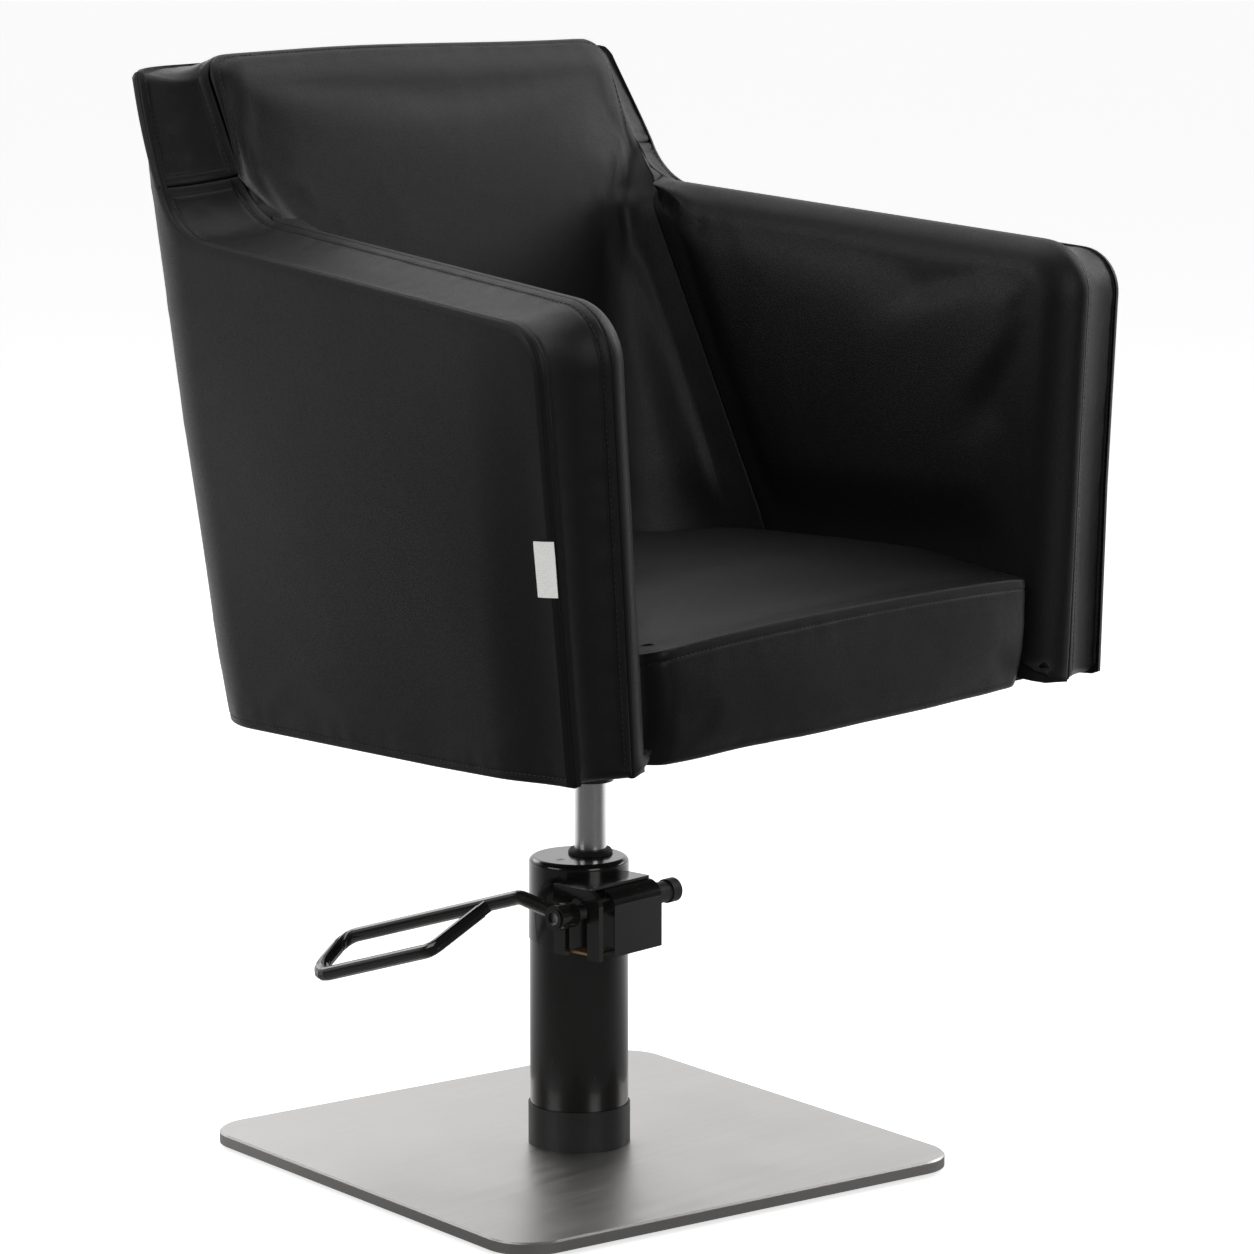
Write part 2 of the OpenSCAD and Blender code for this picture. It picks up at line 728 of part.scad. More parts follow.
// Steel plate under the seat board
module seat_plate() {
    color([0.06, 0.06, 0.06])
    translate([0, 0, seat_plate_z]) difference() {
        translate([-seat_plate_w / 2, -seat_plate_d / 2, 0]) cube([seat_plate_w, seat_plate_d, seat_plate_t]);
        corners(seat_plate_w / 2 - plate_bolt_inset, seat_plate_d / 2 - plate_bolt_inset)
            translate([0, 0, -over]) cylinder(h = seat_plate_t + 2 * over, r = plate_bolt_r + fit_gap);
    }
}

module seat_plate_bolts() {
    color([0.6, 0.6, 0.6])
    corners(seat_plate_w / 2 - plate_bolt_inset, seat_plate_d / 2 - plate_bolt_inset)
        translate([0, 0, seat_plate_z]) {
            cylinder(h = seat_plate_t + board_t - plate_bolt_short, r = plate_bolt_r);
            translate([0, 0, -plate_bolt_head_h])
                cylinder(h = plate_bolt_head_h, r = plate_bolt_head_r, $fn = 6);
        }
}

// Cast block on the cap's front: two ears for the shaft, joined below the cam
ear_drop = 15;
block_h = 25;
block_z = axle_z - ear_drop;
block_front = axle_y - ear_r;
block_depth = housing_back - block_front;
bridge_t = ear_drop - cam_r - cam_room;
block_screw_drop = 10.5;
block_screw_z = axle_z - block_screw_drop;
block_screw_x = [block_left + ear_t / 2, block_left + ear_t + ear_gap + ear_t / 2];
module block_holes() {
    for (x = block_screw_x)
        translate([x, block_front - over, block_screw_z])
            rotate([-90, 0, 0]) cylinder(h = block_screw_len + 2 * over, r = block_screw_r + fit_gap);
}

module bearing_block() {
    color([0.05, 0.05, 0.05])
    difference() {
        union() {
            for (x = [block_left, block_left + ear_t + ear_gap])
                translate([x, block_front, block_z]) cube([ear_t, block_depth, block_h]);
            translate([block_left, block_front, block_z]) cube([2 * ear_t + ear_gap, block_depth, bridge_t]);
        }
        column() translate([0, 0, cap_low - over])
            cylinder(h = cap_h + 2 * over, r = cap_r + fit_gap, $fn = fine);
        translate([block_left - over, axle_y, axle_z]) rotate([0, 90, 0])
            cylinder(h = 2 * ear_t + ear_gap + 2 * over, r = axle_r + run_gap);
        block_holes();
    }
}

module block_screws() {
    color([0.55, 0.55, 0.55])
    for (x = block_screw_x)
        translate([x, block_front, block_screw_z]) rotate([-90, 0, 0]) {
            cylinder(h = block_screw_len, r = block_screw_r);
            translate([0, 0, -block_screw_head_h])
                cylinder(h = block_screw_head_h, r = block_screw_head_r, $fn = 6);
        }
}

// Open plate beside the hub, with a flange that reaches the cap
bracket_foot = 1;
bracket_corner = 2;
module bracket_outline() {
    hull() {
        translate([housing_front, housing_z - bracket_foot]) square([housing_depth, bracket_foot]);
        translate([housing_front + housing_edge_r, housing_z + bracket_h - housing_edge_r])
            circle(r = housing_edge_r, $fn = 48);
        translate([housing_back - bracket_corner, housing_z + bracket_h - bracket_corner])
            square([bracket_corner, bracket_corner]);
    }
}

module lever_bracket() {
    color([0.04, 0.04, 0.04])
    difference() {
        union() {
            translate([bracket_x, 0, 0]) rotate([90, 0, 90]) linear_extrude(bracket_t) difference() {
                bracket_outline();
                translate([axle_y, axle_z]) circle(r = slot_r);
                translate([axle_y - slot_r, housing_z - bracket_foot - over])
                    square([slot_r * 2, axle_z - housing_z + bracket_foot + over]);
            }
            translate([bracket_x, housing_front + housing_edge_r, housing_z + housing_h + fit_gap])
                cube([housing_right - bracket_x, housing_depth - housing_edge_r, flange_t]);
        }
        column() translate([0, 0, cap_low - over])
            cylinder(h = cap_h + 2 * over, r = cap_r + fit_gap, $fn = fine);
    }
}

// Sheet metal cover over the shaft and cam, open below
module housing_outline(inset) {
    r = housing_edge_r - inset;
    translate([housing_front + inset, housing_z])
        square([housing_depth - inset + over, housing_h - inset - r]);
    translate([housing_front + inset + r, housing_z])
        square([housing_depth - inset - r + over, housing_h - inset]);
    translate([housing_front + housing_edge_r, housing_z + housing_h - housing_edge_r])
        circle(r = r, $fn = 48);
}

module lever_housing() {
    color([0.035, 0.035, 0.035])
    difference() {
        translate([housing_left, 0, 0]) rotate([90, 0, 90]) linear_extrude(housing_len) housing_outline(0);
        translate([housing_left + sheet_t, 0, -over])
            rotate([90, 0, 90]) linear_extrude(housing_len - 2 * sheet_t) housing_outline(sheet_t);
        translate([housing_left - over, axle_y, axle_z]) rotate([0, 90, 0])
            cylinder(h = housing_len + 2 * over, r = axle_r + shaft_play);
        column() translate([0, 0, cap_low - over * 2])
            cylinder(h = cap_h + 2 * over, r = cap_r + fit_gap, $fn = fine);
        translate([housing_left - over, housing_front, housing_z - over])
            cube([over, housing_depth, housing_h]);
    }
}

// Plated stop strip across the bracket's foot
module stop_plate() {
    color([0.5, 0.38, 0.25])
    translate([bracket_x + bracket_t + fit_gap, axle_y - slot_r, housing_z + over])
        cube([bracket_gap - 2 * fit_gap, slot_r * 2, stop_t]);
}

// Shaft with the lever's parts fixed to it
module lever_shaft() {
    color([0.5, 0.5, 0.5])
    translate([hub_x + shaft_setback, axle_y, axle_z]) rotate([0, 90, 0])
        cylinder(h = housing_right + end_cap_len / 2 - hub_x, r = axle_r);
}

module lever_cam() {
    color([0.4, 0.4, 0.4])
    difference() {
        union() {
            translate([cam_x, axle_y, axle_z]) rotate([0, 90, 0]) cylinder(h = cam_len, r = cam_r);
            translate([cam_x, axle_y - finger_t / 2, axle_z]) cube([cam_len, finger_t, finger_h]);
        }
        translate([cam_x - over, axle_y, axle_z]) rotate([0, 90, 0])
            cylinder(h = cam_len + 2 * over, r = axle_r + run_gap);
    }
}

// Hub at the shaft's end
module lever_hub() {
    color([0.04, 0.04, 0.04])
    difference() {
        translate([hub_x, axle_y, axle_z]) rotate([0, 90, 0]) {
            cylinder(h = hub_len, r = hub_r);
            translate([0, 0, -hub_nose]) cylinder(h = hub_nose * 2, r = hub_r - hub_nose_step);
        }
        translate([hub_x + shaft_setback, axle_y, axle_z]) rotate([0, 90, 0])
            cylinder(h = hub_len, r = axle_r + run_gap);
        translate([hub_x - shaft_setback, axle_y, axle_z]) rotate([0, 90, 0])
            cylinder(h = 2 * shaft_setback + over, r = hub_r / 2);
        translate([bar_x, axle_y, axle_z]) cylinder(h = hub_r + over, r = hub_screw_r + fit_gap);
    }
}

module hub_screw() {
    color([0.3, 0.3, 0.3])
    translate([bar_x, axle_y, axle_z + axle_r + fit_gap]) cylinder(h = hub_r - axle_r, r = hub_screw_r);
}

// The bar's centre line with its round bends
function mid_arc(a, b, c) = corner_arc(a, b, c, bend_r, 5);
bar_sink = 1;
bar_start_rise = 2;
bar_start = [bar_x, axle_y + hub_r - bar_sink, axle_z + bar_start_rise];
bar_bend = [bar_x, bend_y, axle_z + bend_rise];
bar_end = [bar_x, lever_reach, bar_end_z];
loop_end = [bar_x - loop_w, lever_reach, bar_end_z - loop_drop];
loop_back = [bar_x - loop_w, loop_back_y, loop_back_z];
loop_join = [bar_x, loop_join_y, loop_join_z];
loop_stop_share = 1.6;
weld_share = 0.9;
weld_reach = 1.5;
loop_stop = loop_join + unit(loop_back - loop_join) * bar_r * loop_stop_share;
bar_line = concat([bar_start], mid_arc(bar_start, bar_bend, bar_end), mid_arc(bar_bend, bar_end, loop_end),
    mid_arc(bar_end, loop_end, loop_back), mid_arc(loop_end, loop_back, loop_join), [loop_stop]);

module loop_weld() {
    d = loop_join - loop_stop;
    translate(loop_stop - d / 2)
        rotate([0, acos(d[2] / norm(d)), atan2(d[1], d[0])])
            cylinder(h = norm(d) * weld_reach, r = bar_r * weld_share, $fn = 24);
}

// Foot lever: one round bar, closed into a pedal loop behind the column
module foot_lever() {
    color([0.04, 0.04, 0.04])
    difference() {
        union() {
            bar(bar_line, bar_r);
            loop_weld();
        }
        translate([hub_x - over, axle_y, axle_z]) rotate([0, 90, 0])
            cylinder(h = hub_len + 2 * over, r = hub_r + run_gap);
    }
}

// Cap on the shaft's other end
end_cap_head = 10;
end_cap_lap = 2;
end_cap_step = 1.2;
module shaft_end_cap() {
    color([0.03, 0.03, 0.03])
    difference() {
        translate([housing_right + over / 2, axle_y, axle_z]) rotate([0, 90, 0]) {
            cylinder(h = end_cap_len - end_cap_head + end_cap_lap, r = end_cap_r - end_cap_step);
            translate([0, 0, end_cap_len - end_cap_head]) cylinder(h = end_cap_head, r = end_cap_r);
        }
        translate([housing_right, axle_y, axle_z]) rotate([0, 90, 0])
            cylinder(h = end_cap_len / 2 + end_cap_lap + fit_gap, r = axle_r + run_gap);
    }
}

// Torsion spring on the shaft, as one swept wire
spring_mid_r = axle_r + spring_gap + spring_wire_r;
spring_x = block_left + ear_t + spring_wire_r + spring_gap;
coil_gap = 0.5;
spring_pitch = 2 * spring_wire_r + coil_gap;
spring_sides = 6;
spring_rings = 24;
module return_spring() {
    rings = spring_turns * spring_rings;
    points = [for (i = [0 : rings]) let(t = i * 360 / spring_rings)
        for (j = [0 : spring_sides - 1]) let(
            s = j * 360 / spring_sides,
            r = spring_mid_r + spring_wire_r * cos(s)
        ) [
            spring_x + spring_pitch * t / 360 + spring_wire_r * sin(s),
            axle_y + r * cos(t),
            axle_z + r * sin(t)
        ]];
    last = rings * spring_sides;
    wrap = [for (j = [0 : spring_sides - 1]) (j + 1) % spring_sides];
    color([0.45, 0.45, 0.45])
    polyhedron(points = points, faces = concat(
        [for (i = [0 : rings - 1]) for (j = [0 : spring_sides - 1]) let(a = i * spring_sides)
            [a + j, a + wrap[j], a + spring_sides + j]],
        [for (i = [0 : rings - 1]) for (j = [0 : spring_sides - 1]) let(a = i * spring_sides)
            [a + wrap[j], a + spring_sides + wrap[j], a + spring_sides + j]],
        [for (j = [1 : spring_sides - 2]) [0, j + 1, j]],
        [for (j = [1 : spring_sides - 2]) [last, last + j, last + j + 1]]
    ));
}

// Plunger that the cam pushes into the cap
module pump_plunger() {
    color([0.62, 0.62, 0.63])
    translate([plunger_x, plunger_y + plunger_r, axle_z + plunger_rise]) {
        sphere(r = plunger_r, $fn = 32);
        rotate([-90, 0, 0]) cylinder(h = plunger_len - plunger_r, r = plunger_r);
    }
}

// Plywood seat board, which ties the shell's frames together
board_setback = 37;
board_clear = 6;
board_front = front_y + board_setback;
board_back = back_y(board_z) - skin_t - board_clear;
function board_half(y) = seam_x(y, board_z) + pad_back - over;
module board_outline(trim) {
    polygon([
        [trim - board_half(board_front), board_front],
        [board_half(board_front) - trim, board_front],
        [board_half(board_back) - trim, board_back],
        [trim - board_half(board_back), board_back]
    ]);
}

module seat_board() {
    color([0.72, 0.58, 0.4])
    difference() {
        translate([0, 0, board_z]) linear_extrude(board_t) board_outline(0);
        corners(seat_plate_w / 2 - plate_bolt_inset, seat_plate_d / 2 - plate_bolt_inset)
            translate([0, 0, board_z - over]) cylinder(h = board_t + 2 * over, r = plate_bolt_r + fit_gap);
        frame_bolt_places() cylinder(h = frame_bolt_len + over, r = frame_bolt_r + fit_gap);
        back_bolt_places() translate([0, 0, -over]) cylinder(h = frame_bolt_len, r = frame_bolt_r + fit_gap);
    }
}

// Thin cover under the shell, open round the seat plate
cover_t = 2;
cover_margin = 12;
module bottom_cover() {
    color([0.06, 0.06, 0.06])
    translate([0, 0, board_z - cover_t - fit_gap]) difference() {
        linear_extrude(cover_t) board_outline(over);
        translate([-seat_plate_w / 2 - cover_margin, -seat_plate_d / 2 - cover_margin, -over])
            cube([seat_plate_w + 2 * cover_margin, seat_plate_d + 2 * cover_margin, cover_t + 2 * over]);
    }
}

// The plane of an arm: X out of the arm, Y back, Z up
module arm_plane() {
    translate([seam_half_w, front_y, floor_z])
        rotate([0, 0, plan_taper])
            rotate([0, flare, 0])
                children();
}

frame_rail = 55;
frame_back = 106;
module frame_outline(inset) {
    top_front = arm_front_z - border_drop - floor_z - frame_inset - inset;
    top_back = top_front + arm_slope * (frame_back - front_y);
    low_back = -floor_rise * (frame_back - front_y) + frame_inset / 3 + inset;
    front = border_set + frame_inset + inset;
    back = frame_back - front_y - inset;
    polygon([[front, frame_inset / 3 + inset], [front, top_front - outer_corner_r],
        [front + outer_corner_r / 3, top_front - outer_corner_r / 3], [front + outer_corner_r, top_front],
        [back, top_back], [back, low_back]]);
}

// Timber frame inside an arm
module arm_frame_right() {
    color([0.72, 0.58, 0.4])
    difference() {
        arm_plane() translate([pad_back + soft_gap, 0, 0]) rotate([90, 0, 90])
            linear_extrude(frame_t) difference() {
                frame_outline(0);
                frame_outline(frame_rail);
            }
        frame_bolt_places() {
            cylinder(h = frame_bolt_len + over, r = frame_bolt_r + fit_gap);
            translate([0, 0, frame_bolt_len - frame_bolt_head_h])
                cylinder(h = frame_bolt_well, r = frame_bolt_head_r + fit_gap);
        }
    }
}
module arm_frame_left() { mirror([1, 0, 0]) arm_frame_right(); }

// Timber frame inside the back, standing on the seat board
back_frame_inset = 76;
back_frame_drop = 42;
back_frame_half_w = seam_half_w - back_frame_inset;
back_frame_z = board_z + board_t;
back_frame_h = back_top_z - back_frame_drop - back_frame_z;
module back_frame() {
    lean = back_frame_h * tan(back_lean);
    y0 = back_y(back_frame_z) - skin_t - soft_gap - back_frame_t;
    color([0.72, 0.58, 0.4])
    difference() {
        translate([-back_frame_half_w, 0, back_frame_z])
            rotate([90, 0, 90]) linear_extrude(2 * back_frame_half_w)
            polygon([[y0, 0], [y0 + back_frame_t, 0], [y0 + back_frame_t + lean, back_frame_h],
                [y0 + lean, back_frame_h]]);
        translate([frame_rail - back_frame_half_w, 0, back_frame_z + frame_rail])
            cube([2 * (back_frame_half_w - frame_rail), back_rear, back_frame_h - 2 * frame_rail]);
        back_bolt_places() cylinder(h = frame_bolt_len / 2, r = frame_bolt_r + fit_gap);
    }
}

// Bolts from the arm frames into the seat board's edge, and from the board up into the back frame
frame_bolt_r = 3;
frame_bolt_len = 78;
frame_bolt_head_r = 6;
frame_bolt_head_h = 4;
frame_bolt_well = 20;
frame_bolt_y = [-200, -60, 80];
back_bolt_inset = 30;
back_bolt_x = [for (s = [-1, 0, 1]) s * (back_frame_half_w - back_bolt_inset)];
module frame_bolt_places() {
    for (y = frame_bolt_y, side = [-1, 1])
        translate([side * (seam_x(y, board_z) - lip), y, board_z + board_t / 2]) rotate([0, side * 90, 0])
            children();
}
module back_bolt_places() {
    for (x = back_bolt_x)
        translate([x, back_y(back_frame_z) - skin_t - back_frame_t / 2, board_z]) children();
}
module frame_bolts() {
    color([0.55, 0.55, 0.55]) {
        frame_bolt_places() {
            cylinder(h = frame_bolt_len, r = frame_bolt_r);
            translate([0, 0, frame_bolt_len - frame_bolt_head_h])
                cylinder(h = frame_bolt_head_h, r = frame_bolt_head_r, $fn = 6);
        }
        back_bolt_places() cylinder(h = frame_bolt_len / 2, r = frame_bolt_r);
    }
}

// Seat cushion: crowned top, front boxing with its seam, drawn-in sides
cushion_x_shares = [-1, -0.96, -0.86, -0.7, -0.5, -0.25, 0, 0.25, 0.5, 0.7, 0.86, 0.96, 1];
cushion_y_shares = [0, 0.03, 0.1, 0.25, 0.45, 0.65, 0.82, 0.94, 1];
cushion_low = board_z + board_t + soft_gap;
cushion_lip = 7;
cushion_lip_z = floor_z + cushion_lip;
cushion_edge = 12;
cushion_draw = 5;
cushion_gap = 1;
cushion_fall = 6;
fall_share = 0.9;
heel_set = 4;
heel_tuck = 2;
low_belly = 2;
high_belly = 3;
face_tuck = 1;
seam_tuck = 3;
function cushion_half(y, z) = pad_x(y, z) - cushion_gap;
function cushion_rear(share, z) =
    let(
        r = tub_at(z),
        c = tub_centre(z),
        x = abs(share) * cushion_half(face_y(z) - r, z),
        side = max(0, x - c[0])
    )
    c[1] + sqrt(max(0, r ^ 2 - min(side, r) ^ 2)) - cushion_gap;
function cushion_top(sx, sy) =
    seat_seam_z + cushion_edge * min(1, 4 * sy) + seat_crown * (1 - sx ^ 2) * (0.35 + 0.65 * sin(180 * sy));
function cushion_column(sx) =
    let(
        z1 = seat_seam_z + seat_crown * (1 - sx ^ 2) * 0.35,
        rear = cushion_rear(sx, seat_seam_z),
        bow = cushion_draw * (1 - sx ^ 4),
        y1 = -seat_front - bow + cushion_draw,
        low = mix(cushion_lip_z, z1, 0.3),
        high = mix(cushion_lip_z, z1, 0.7)
    )
    concat(
        [[sx * (cushion_half(y1, cushion_lip_z) - heel_tuck), y1 + heel_set, cushion_lip_z]],
        [[sx * (cushion_half(y1, low) - face_tuck), y1 - low_belly, low]],
        [[sx * (cushion_half(y1, high) - face_tuck), y1 - high_belly, high]],
        [[sx * (cushion_half(y1, z1) - seam_tuck), y1, z1]],
        [for (sy = cushion_y_shares) let(
            y = mix(y1 + cushion_edge / 2, rear - cushion_draw, sy),
            side_fall = cushion_fall * max(0, abs(sx) - fall_share) / (1 - fall_share),
            rear_fall = cushion_edge * max(0, sy - fall_share) / (1 - fall_share),
            z = cushion_top(sx, sy) - side_fall * (0.4 + 0.6 * min(1, 3 * sy)) - rear_fall
        ) [sx * (cushion_half(y, z) - face_tuck), y, z]],
        [[sx * (cushion_half(rear, cushion_low) - heel_tuck), cushion_rear(sx, cushion_low), cushion_low]]
    );
function cushion_floor(sx, column) =
    let(n = len(column), lip_y = board_front - over, rear = column[n - 1][1] - cushion_edge / 2)
    [for (j = [0 : n - 1]) let(
        y = j == 0 ? mix(column[0][1], lip_y, 0.5)
            : j == 1 ? lip_y : mix(lip_y + soft_gap, rear, (j - 2) / (n - 3)),
        z = j < 2 ? cushion_lip_z : cushion_low
    ) [sx * (cushion_half(y, z) - cushion_draw), y, z]];
module seat_cushion() {
    top = [for (sx = cushion_x_shares) cushion_column(sx)];
    color([0.04, 0.04, 0.04])
    slab(top, [for (i = [0 : len(top) - 1]) cushion_floor(cushion_x_shares[i], top[i])]);
}

// Inner arm pads, thick in the middle and round at the seams
arm_pad_y_steps = [0, 1, 6, 14, 28, 35, 36, 50, 90];
arm_pad_y_shares = [0.35, 0.6, 0.8, 0.93, 1];
arm_pad_z_steps = [0, 4, 12, 26, 44];
arm_pad_z_shares = [0.3, 0.55, 0.8, 1];
front_step = arm_pad_y_steps[len(arm_pad_y_steps) - 1];
last_step = arm_pad_z_steps[len(arm_pad_z_steps) - 1];
pad_hold_drop = 90;
function arm_pad_foot(y) = y < board_front - over ? floor_at(y) : board_z + board_t + over;
function arm_pad_places(z) = concat([for (d = arm_pad_y_steps) front_y + d + soft_gap],
    [for (s = arm_pad_y_shares) mix(front_y + front_step, pad_end(z) - soft_gap, s)]);
function arm_pad_heights(y) =
    let(
        top = arm_top(y) - edge_gap,
        foot = arm_pad_foot(y),
        turn = top - last_step
    )
    concat([for (d = arm_pad_z_steps) top - d], [for (s = arm_pad_z_shares) mix(turn, foot, s)]);
arm_pad_last = len(arm_pad_y_steps) + len(arm_pad_y_shares) - 1;
function arm_pad_face() = [for (i = [0 : arm_pad_last]) [for (j = [0 : 8])
    let(
        y0 = arm_pad_places(arm_back_z)[i],
        z = arm_pad_heights(y0)[j],
        y = arm_pad_places(max(z, seat_ref_z - pad_hold_drop))[i],
        d = i == 0 || j == 0 ? 0 : seam_distance(y, z)
    ) [seam_x(y, z) - pad_t * edge_rise(d), y, z]]];
function arm_pad_back(face) = [for (i = [0 : arm_pad_last]) [for (j = [0 : 8])
    let(
        p = face[i][j],
        y = max(p[1], front_y + pad_inset + i * over / 2),
        top = arm_top(y) - pad_inset,
        z = min(p[2], top - j * over / 2)
    ) [seam_x(y, z) + pad_back, y, z]]];
module arm_pad_right() {
    face = arm_pad_face();
    color([0.045, 0.045, 0.045]) slab(face, arm_pad_back(face));
}
module arm_pad_left() { mirror([1, 0, 0]) arm_pad_right(); }

// Back pad: a tub corner at each side that meets the arm pads, and a free round edge above them
back_pad_low_shares = [0, 0.2, 0.45, 0.7, 0.88];
back_pad_top_shares = [0.15, 0.3, 0.5, 0.68, 0.82, 0.92, 0.975, 1];
back_pad_turns = [0.2, 0.4, 0.6, 0.8, 1];
back_pad_low = board_z + board_t + over;
back_pad_half_shares = [0.8, 0.55, 0.28, 0];
edge_share = 0.1;
edge_gap = 1;
corner_gap = 1.5;
frame_gap = 2;
junction_y = pad_end(arm_back_z);
junction_z = arm_top(junction_y);
step_points = concat([for (p = arm_inner_3d) if (p[1] > junction_y) p], top_inner_arc);
function step_x(z) = lookup(z, [for (p = step_points) [p[2], p[0]]]);
function step_y(z) = lookup(z, [for (p = step_points) [p[2], p[1]]]);
function back_up(z, low, high) = ease(z, junction_z - low, junction_z + high);
function back_edge(z) = (z < junction_z)
    ? let(y = pad_end(z) + corner_gap) [seam_x(y, z) - pad_t * edge_rise(junction_z - z), y, z]
    : [step_x(z) - edge_gap, step_y(z) - edge_gap, z];
function top_set(z) = (1 - edge_rise(back_top_z - z)) * (seam_step_top_y - soft_gap - face_y(back_top_z));
back_pad_top = back_top_z - soft_gap;
back_pad_rows = concat([for (s = back_pad_low_shares) mix(back_pad_low, junction_z - last_step, s)],
    [for (i = [len(arm_pad_z_steps) - 1 : -1 : 0]) junction_z - arm_pad_z_steps[i]],
    [for (s = back_pad_top_shares) mix(junction_z, back_pad_top, s)]);
function back_half(z) =
    let(
        r = tub_at(z),
        c = tub_centre(z),
        up = back_up(z, lip, lip),
        edge = back_edge(z),
        wide = step_x(z) - soft_gap,
        y1 = face_y(z) + top_set(z),
        y0 = max(edge[1], y1)
    )
    concat([edge],
        [for (a = back_pad_turns) let(t = mix(plan_taper, 90, a), f = 90 * a) mix(
            [c[0] + r * cos(t), c[1] + r * sin(t) + top_set(z), z],
            [wide - lip * (1 - cos(f)), mix(step_y(z), y1, sin(f)), z], up)],
        [for (s = back_pad_half_shares) [mix(c[0], wide - lip, up) * s, y1, z]]);
function back_half_rear(zf) =
    let(
        z = min(zf, back_top_z - pad_inset - (back_top_z - zf) * edge_share),
        start = back_edge(zf)[1],
        rear = zf > back_top_z - pad_inset ? start + 2 * over : pad_rear(z),
        side = (zf > junction_z ? step_x(zf) : seam_x(start, z))
            + mix(pad_back - frame_gap, -soft_gap, back_up(zf, lip + over, -pad_inset))
    )
    concat([[side, start + soft_gap, z]],
        [for (a = back_pad_turns) let(y = mix(start, rear, keep(0.3 + a, 0, 1)))
            [mix(side - (y - start) * tan(plan_taper), back_frame_half_w, a), y, z]],
        [for (s = back_pad_half_shares) [back_frame_half_w * s, rear, z]]);
function flip(p) = [-p[0], p[1], p[2]];
function whole(row) = concat(row, [for (i = [len(row) - 2 : -1 : 0]) flip(row[i])]);
module back_pad() {
    color([0.045, 0.045, 0.045])
    slab([for (z = back_pad_rows) whole(back_half(z))],
        [for (z = back_pad_rows) whole(back_half_rear(z))]);
}

// Border strips along the arms
module arm_border_right() {
    rows = strip_rows(arm_inner_3d, arm_outer_3d);
    color([0.05, 0.05, 0.05])
    slab(strip_face(rows), strip_rear(rows));
}
module arm_border_left() { mirror([1, 0, 0]) arm_border_right(); }

// Border strip up the steps and over the back
module back_border() {
    inner = whole(border_half_inner);
    outer = whole(border_half_outer);
    rows = strip_rows(inner, outer);
    color([0.05, 0.05, 0.05])
    slab(strip_face(rows), strip_rear(rows));
}

// Outer skins: side panels that turn the rear corner, and the rear panel
panel_places = [0, 0.015, 0.06, 0.12, 0.25, 0.45, 0.65, 0.82, 0.92, 1];
panel_height_shares = [0, 0.08, 0.25, 0.5, 0.75, 0.92, 1];
panel_stagger = 2;
function outer_front(z) = front_y
    + border_set * keep((z - floor_z) / (arm_front_z - border_drop - floor_z), 0, 1);
outer_seam = concat(arm_outer, [for (i = [1 : 3]) step_place(i / 3)],
    [[outer_turn_s(mix(back_edge_angle, 90, 1 / 6), top_outer_z), top_outer_z]]);
function outer_top(s) = min(lookup(s, outer_seam), top_outer_z);
function skin_point(s, z, crown, inset) =
    let(
        a = outer_point(s - over, z),
        b = outer_point(s + over, z),
        along = unit(b - a),
        out = [along[1], -along[0], 0]
    )
    outer_point(s, z) + out * (crown - inset);
side_turn_s = outer_turn_s(seam_split, top_outer_z);
side_seam = [for (p = outer_seam) if (p[0] > outer_step_s - arm_fillet_r) p[0]];
function side_places() = concat([for (p = panel_places) mix(front_y + border_set, side_seam[0], p)],
    [for (i = [1 : len(side_seam) - 1]) side_seam[i]], [side_turn_s]);
function side_grid(inset) =
    let(places = side_places(), n = len(places))
    [for (i = [0 : n - 1]) [for (h = panel_height_shares)
        let(
            trim = inset > 0 ? frame_inset : seam_gap,
            top = outer_top(places[i]) - trim,
            low = floor_at(keep(places[i], front_y, back_rear)),
            z = mix(low, top, h),
            s = i == 0 ? outer_front(z) + trim : max(places[i], outer_front(z) + trim + i * panel_stagger),
            along = keep((places[i] - places[0]) / (places[n - 1] - places[0]), 0, 1),
            crown = skin_crown * sin(180 * along) * sin(180 * h)
        ) skin_point(s, z, crown, inset)]];
module side_panel_right() {
    color([0.05, 0.05, 0.05]) slab(side_grid(0), side_grid(skin_t));
}
module side_panel_left() { mirror([1, 0, 0]) side_panel_right(); }

rear_shares = [0, 0.12, 0.24, 0.38, 0.55, 0.78, 1];
function rear_grid(inset) =
    let(half = [for (p = rear_shares) [for (h = panel_height_shares)
        let(
            top = top_outer_z - (inset > 0 ? frame_inset : seam_gap),
            low = floor_at(back_rear),
            z = mix(low, top, h),
            s0 = side_turn_s + seam_gap,
            end_s = outer_turn_s(90, z) + corner_centre(z)[0],
            s = mix(s0, end_s, p),
            crown = skin_crown * (0.35 + 0.65 * p) * sin(180 * h)
        ) skin_point(s, z, crown * ease(p, 0, 0.2), inset)]])
    concat(half, [for (i = [len(half) - 2 : -1 : 0]) [for (p = half[i]) flip(p)]]);
module back_panel() {
    color([0.05, 0.05, 0.05]) slab(rear_grid(0), rear_grid(skin_t));
}

// Blank woven tag in the left arm's outer seam
tag_w = 19;
tag_h = 42;
tag_t = 0.8;
tag_up = 150;
tag_in = 7;
tag_sink = 0.45;
tag_tilt = 6;
module seam_tag() {
    color([0.92, 0.92, 0.91])
    mirror([1, 0, 0]) arm_plane()
        translate([border_w - tag_sink, tag_in, tag_up])
            rotate([0, 0, -tag_tilt]) cube([tag_t, tag_w, tag_h]);
}

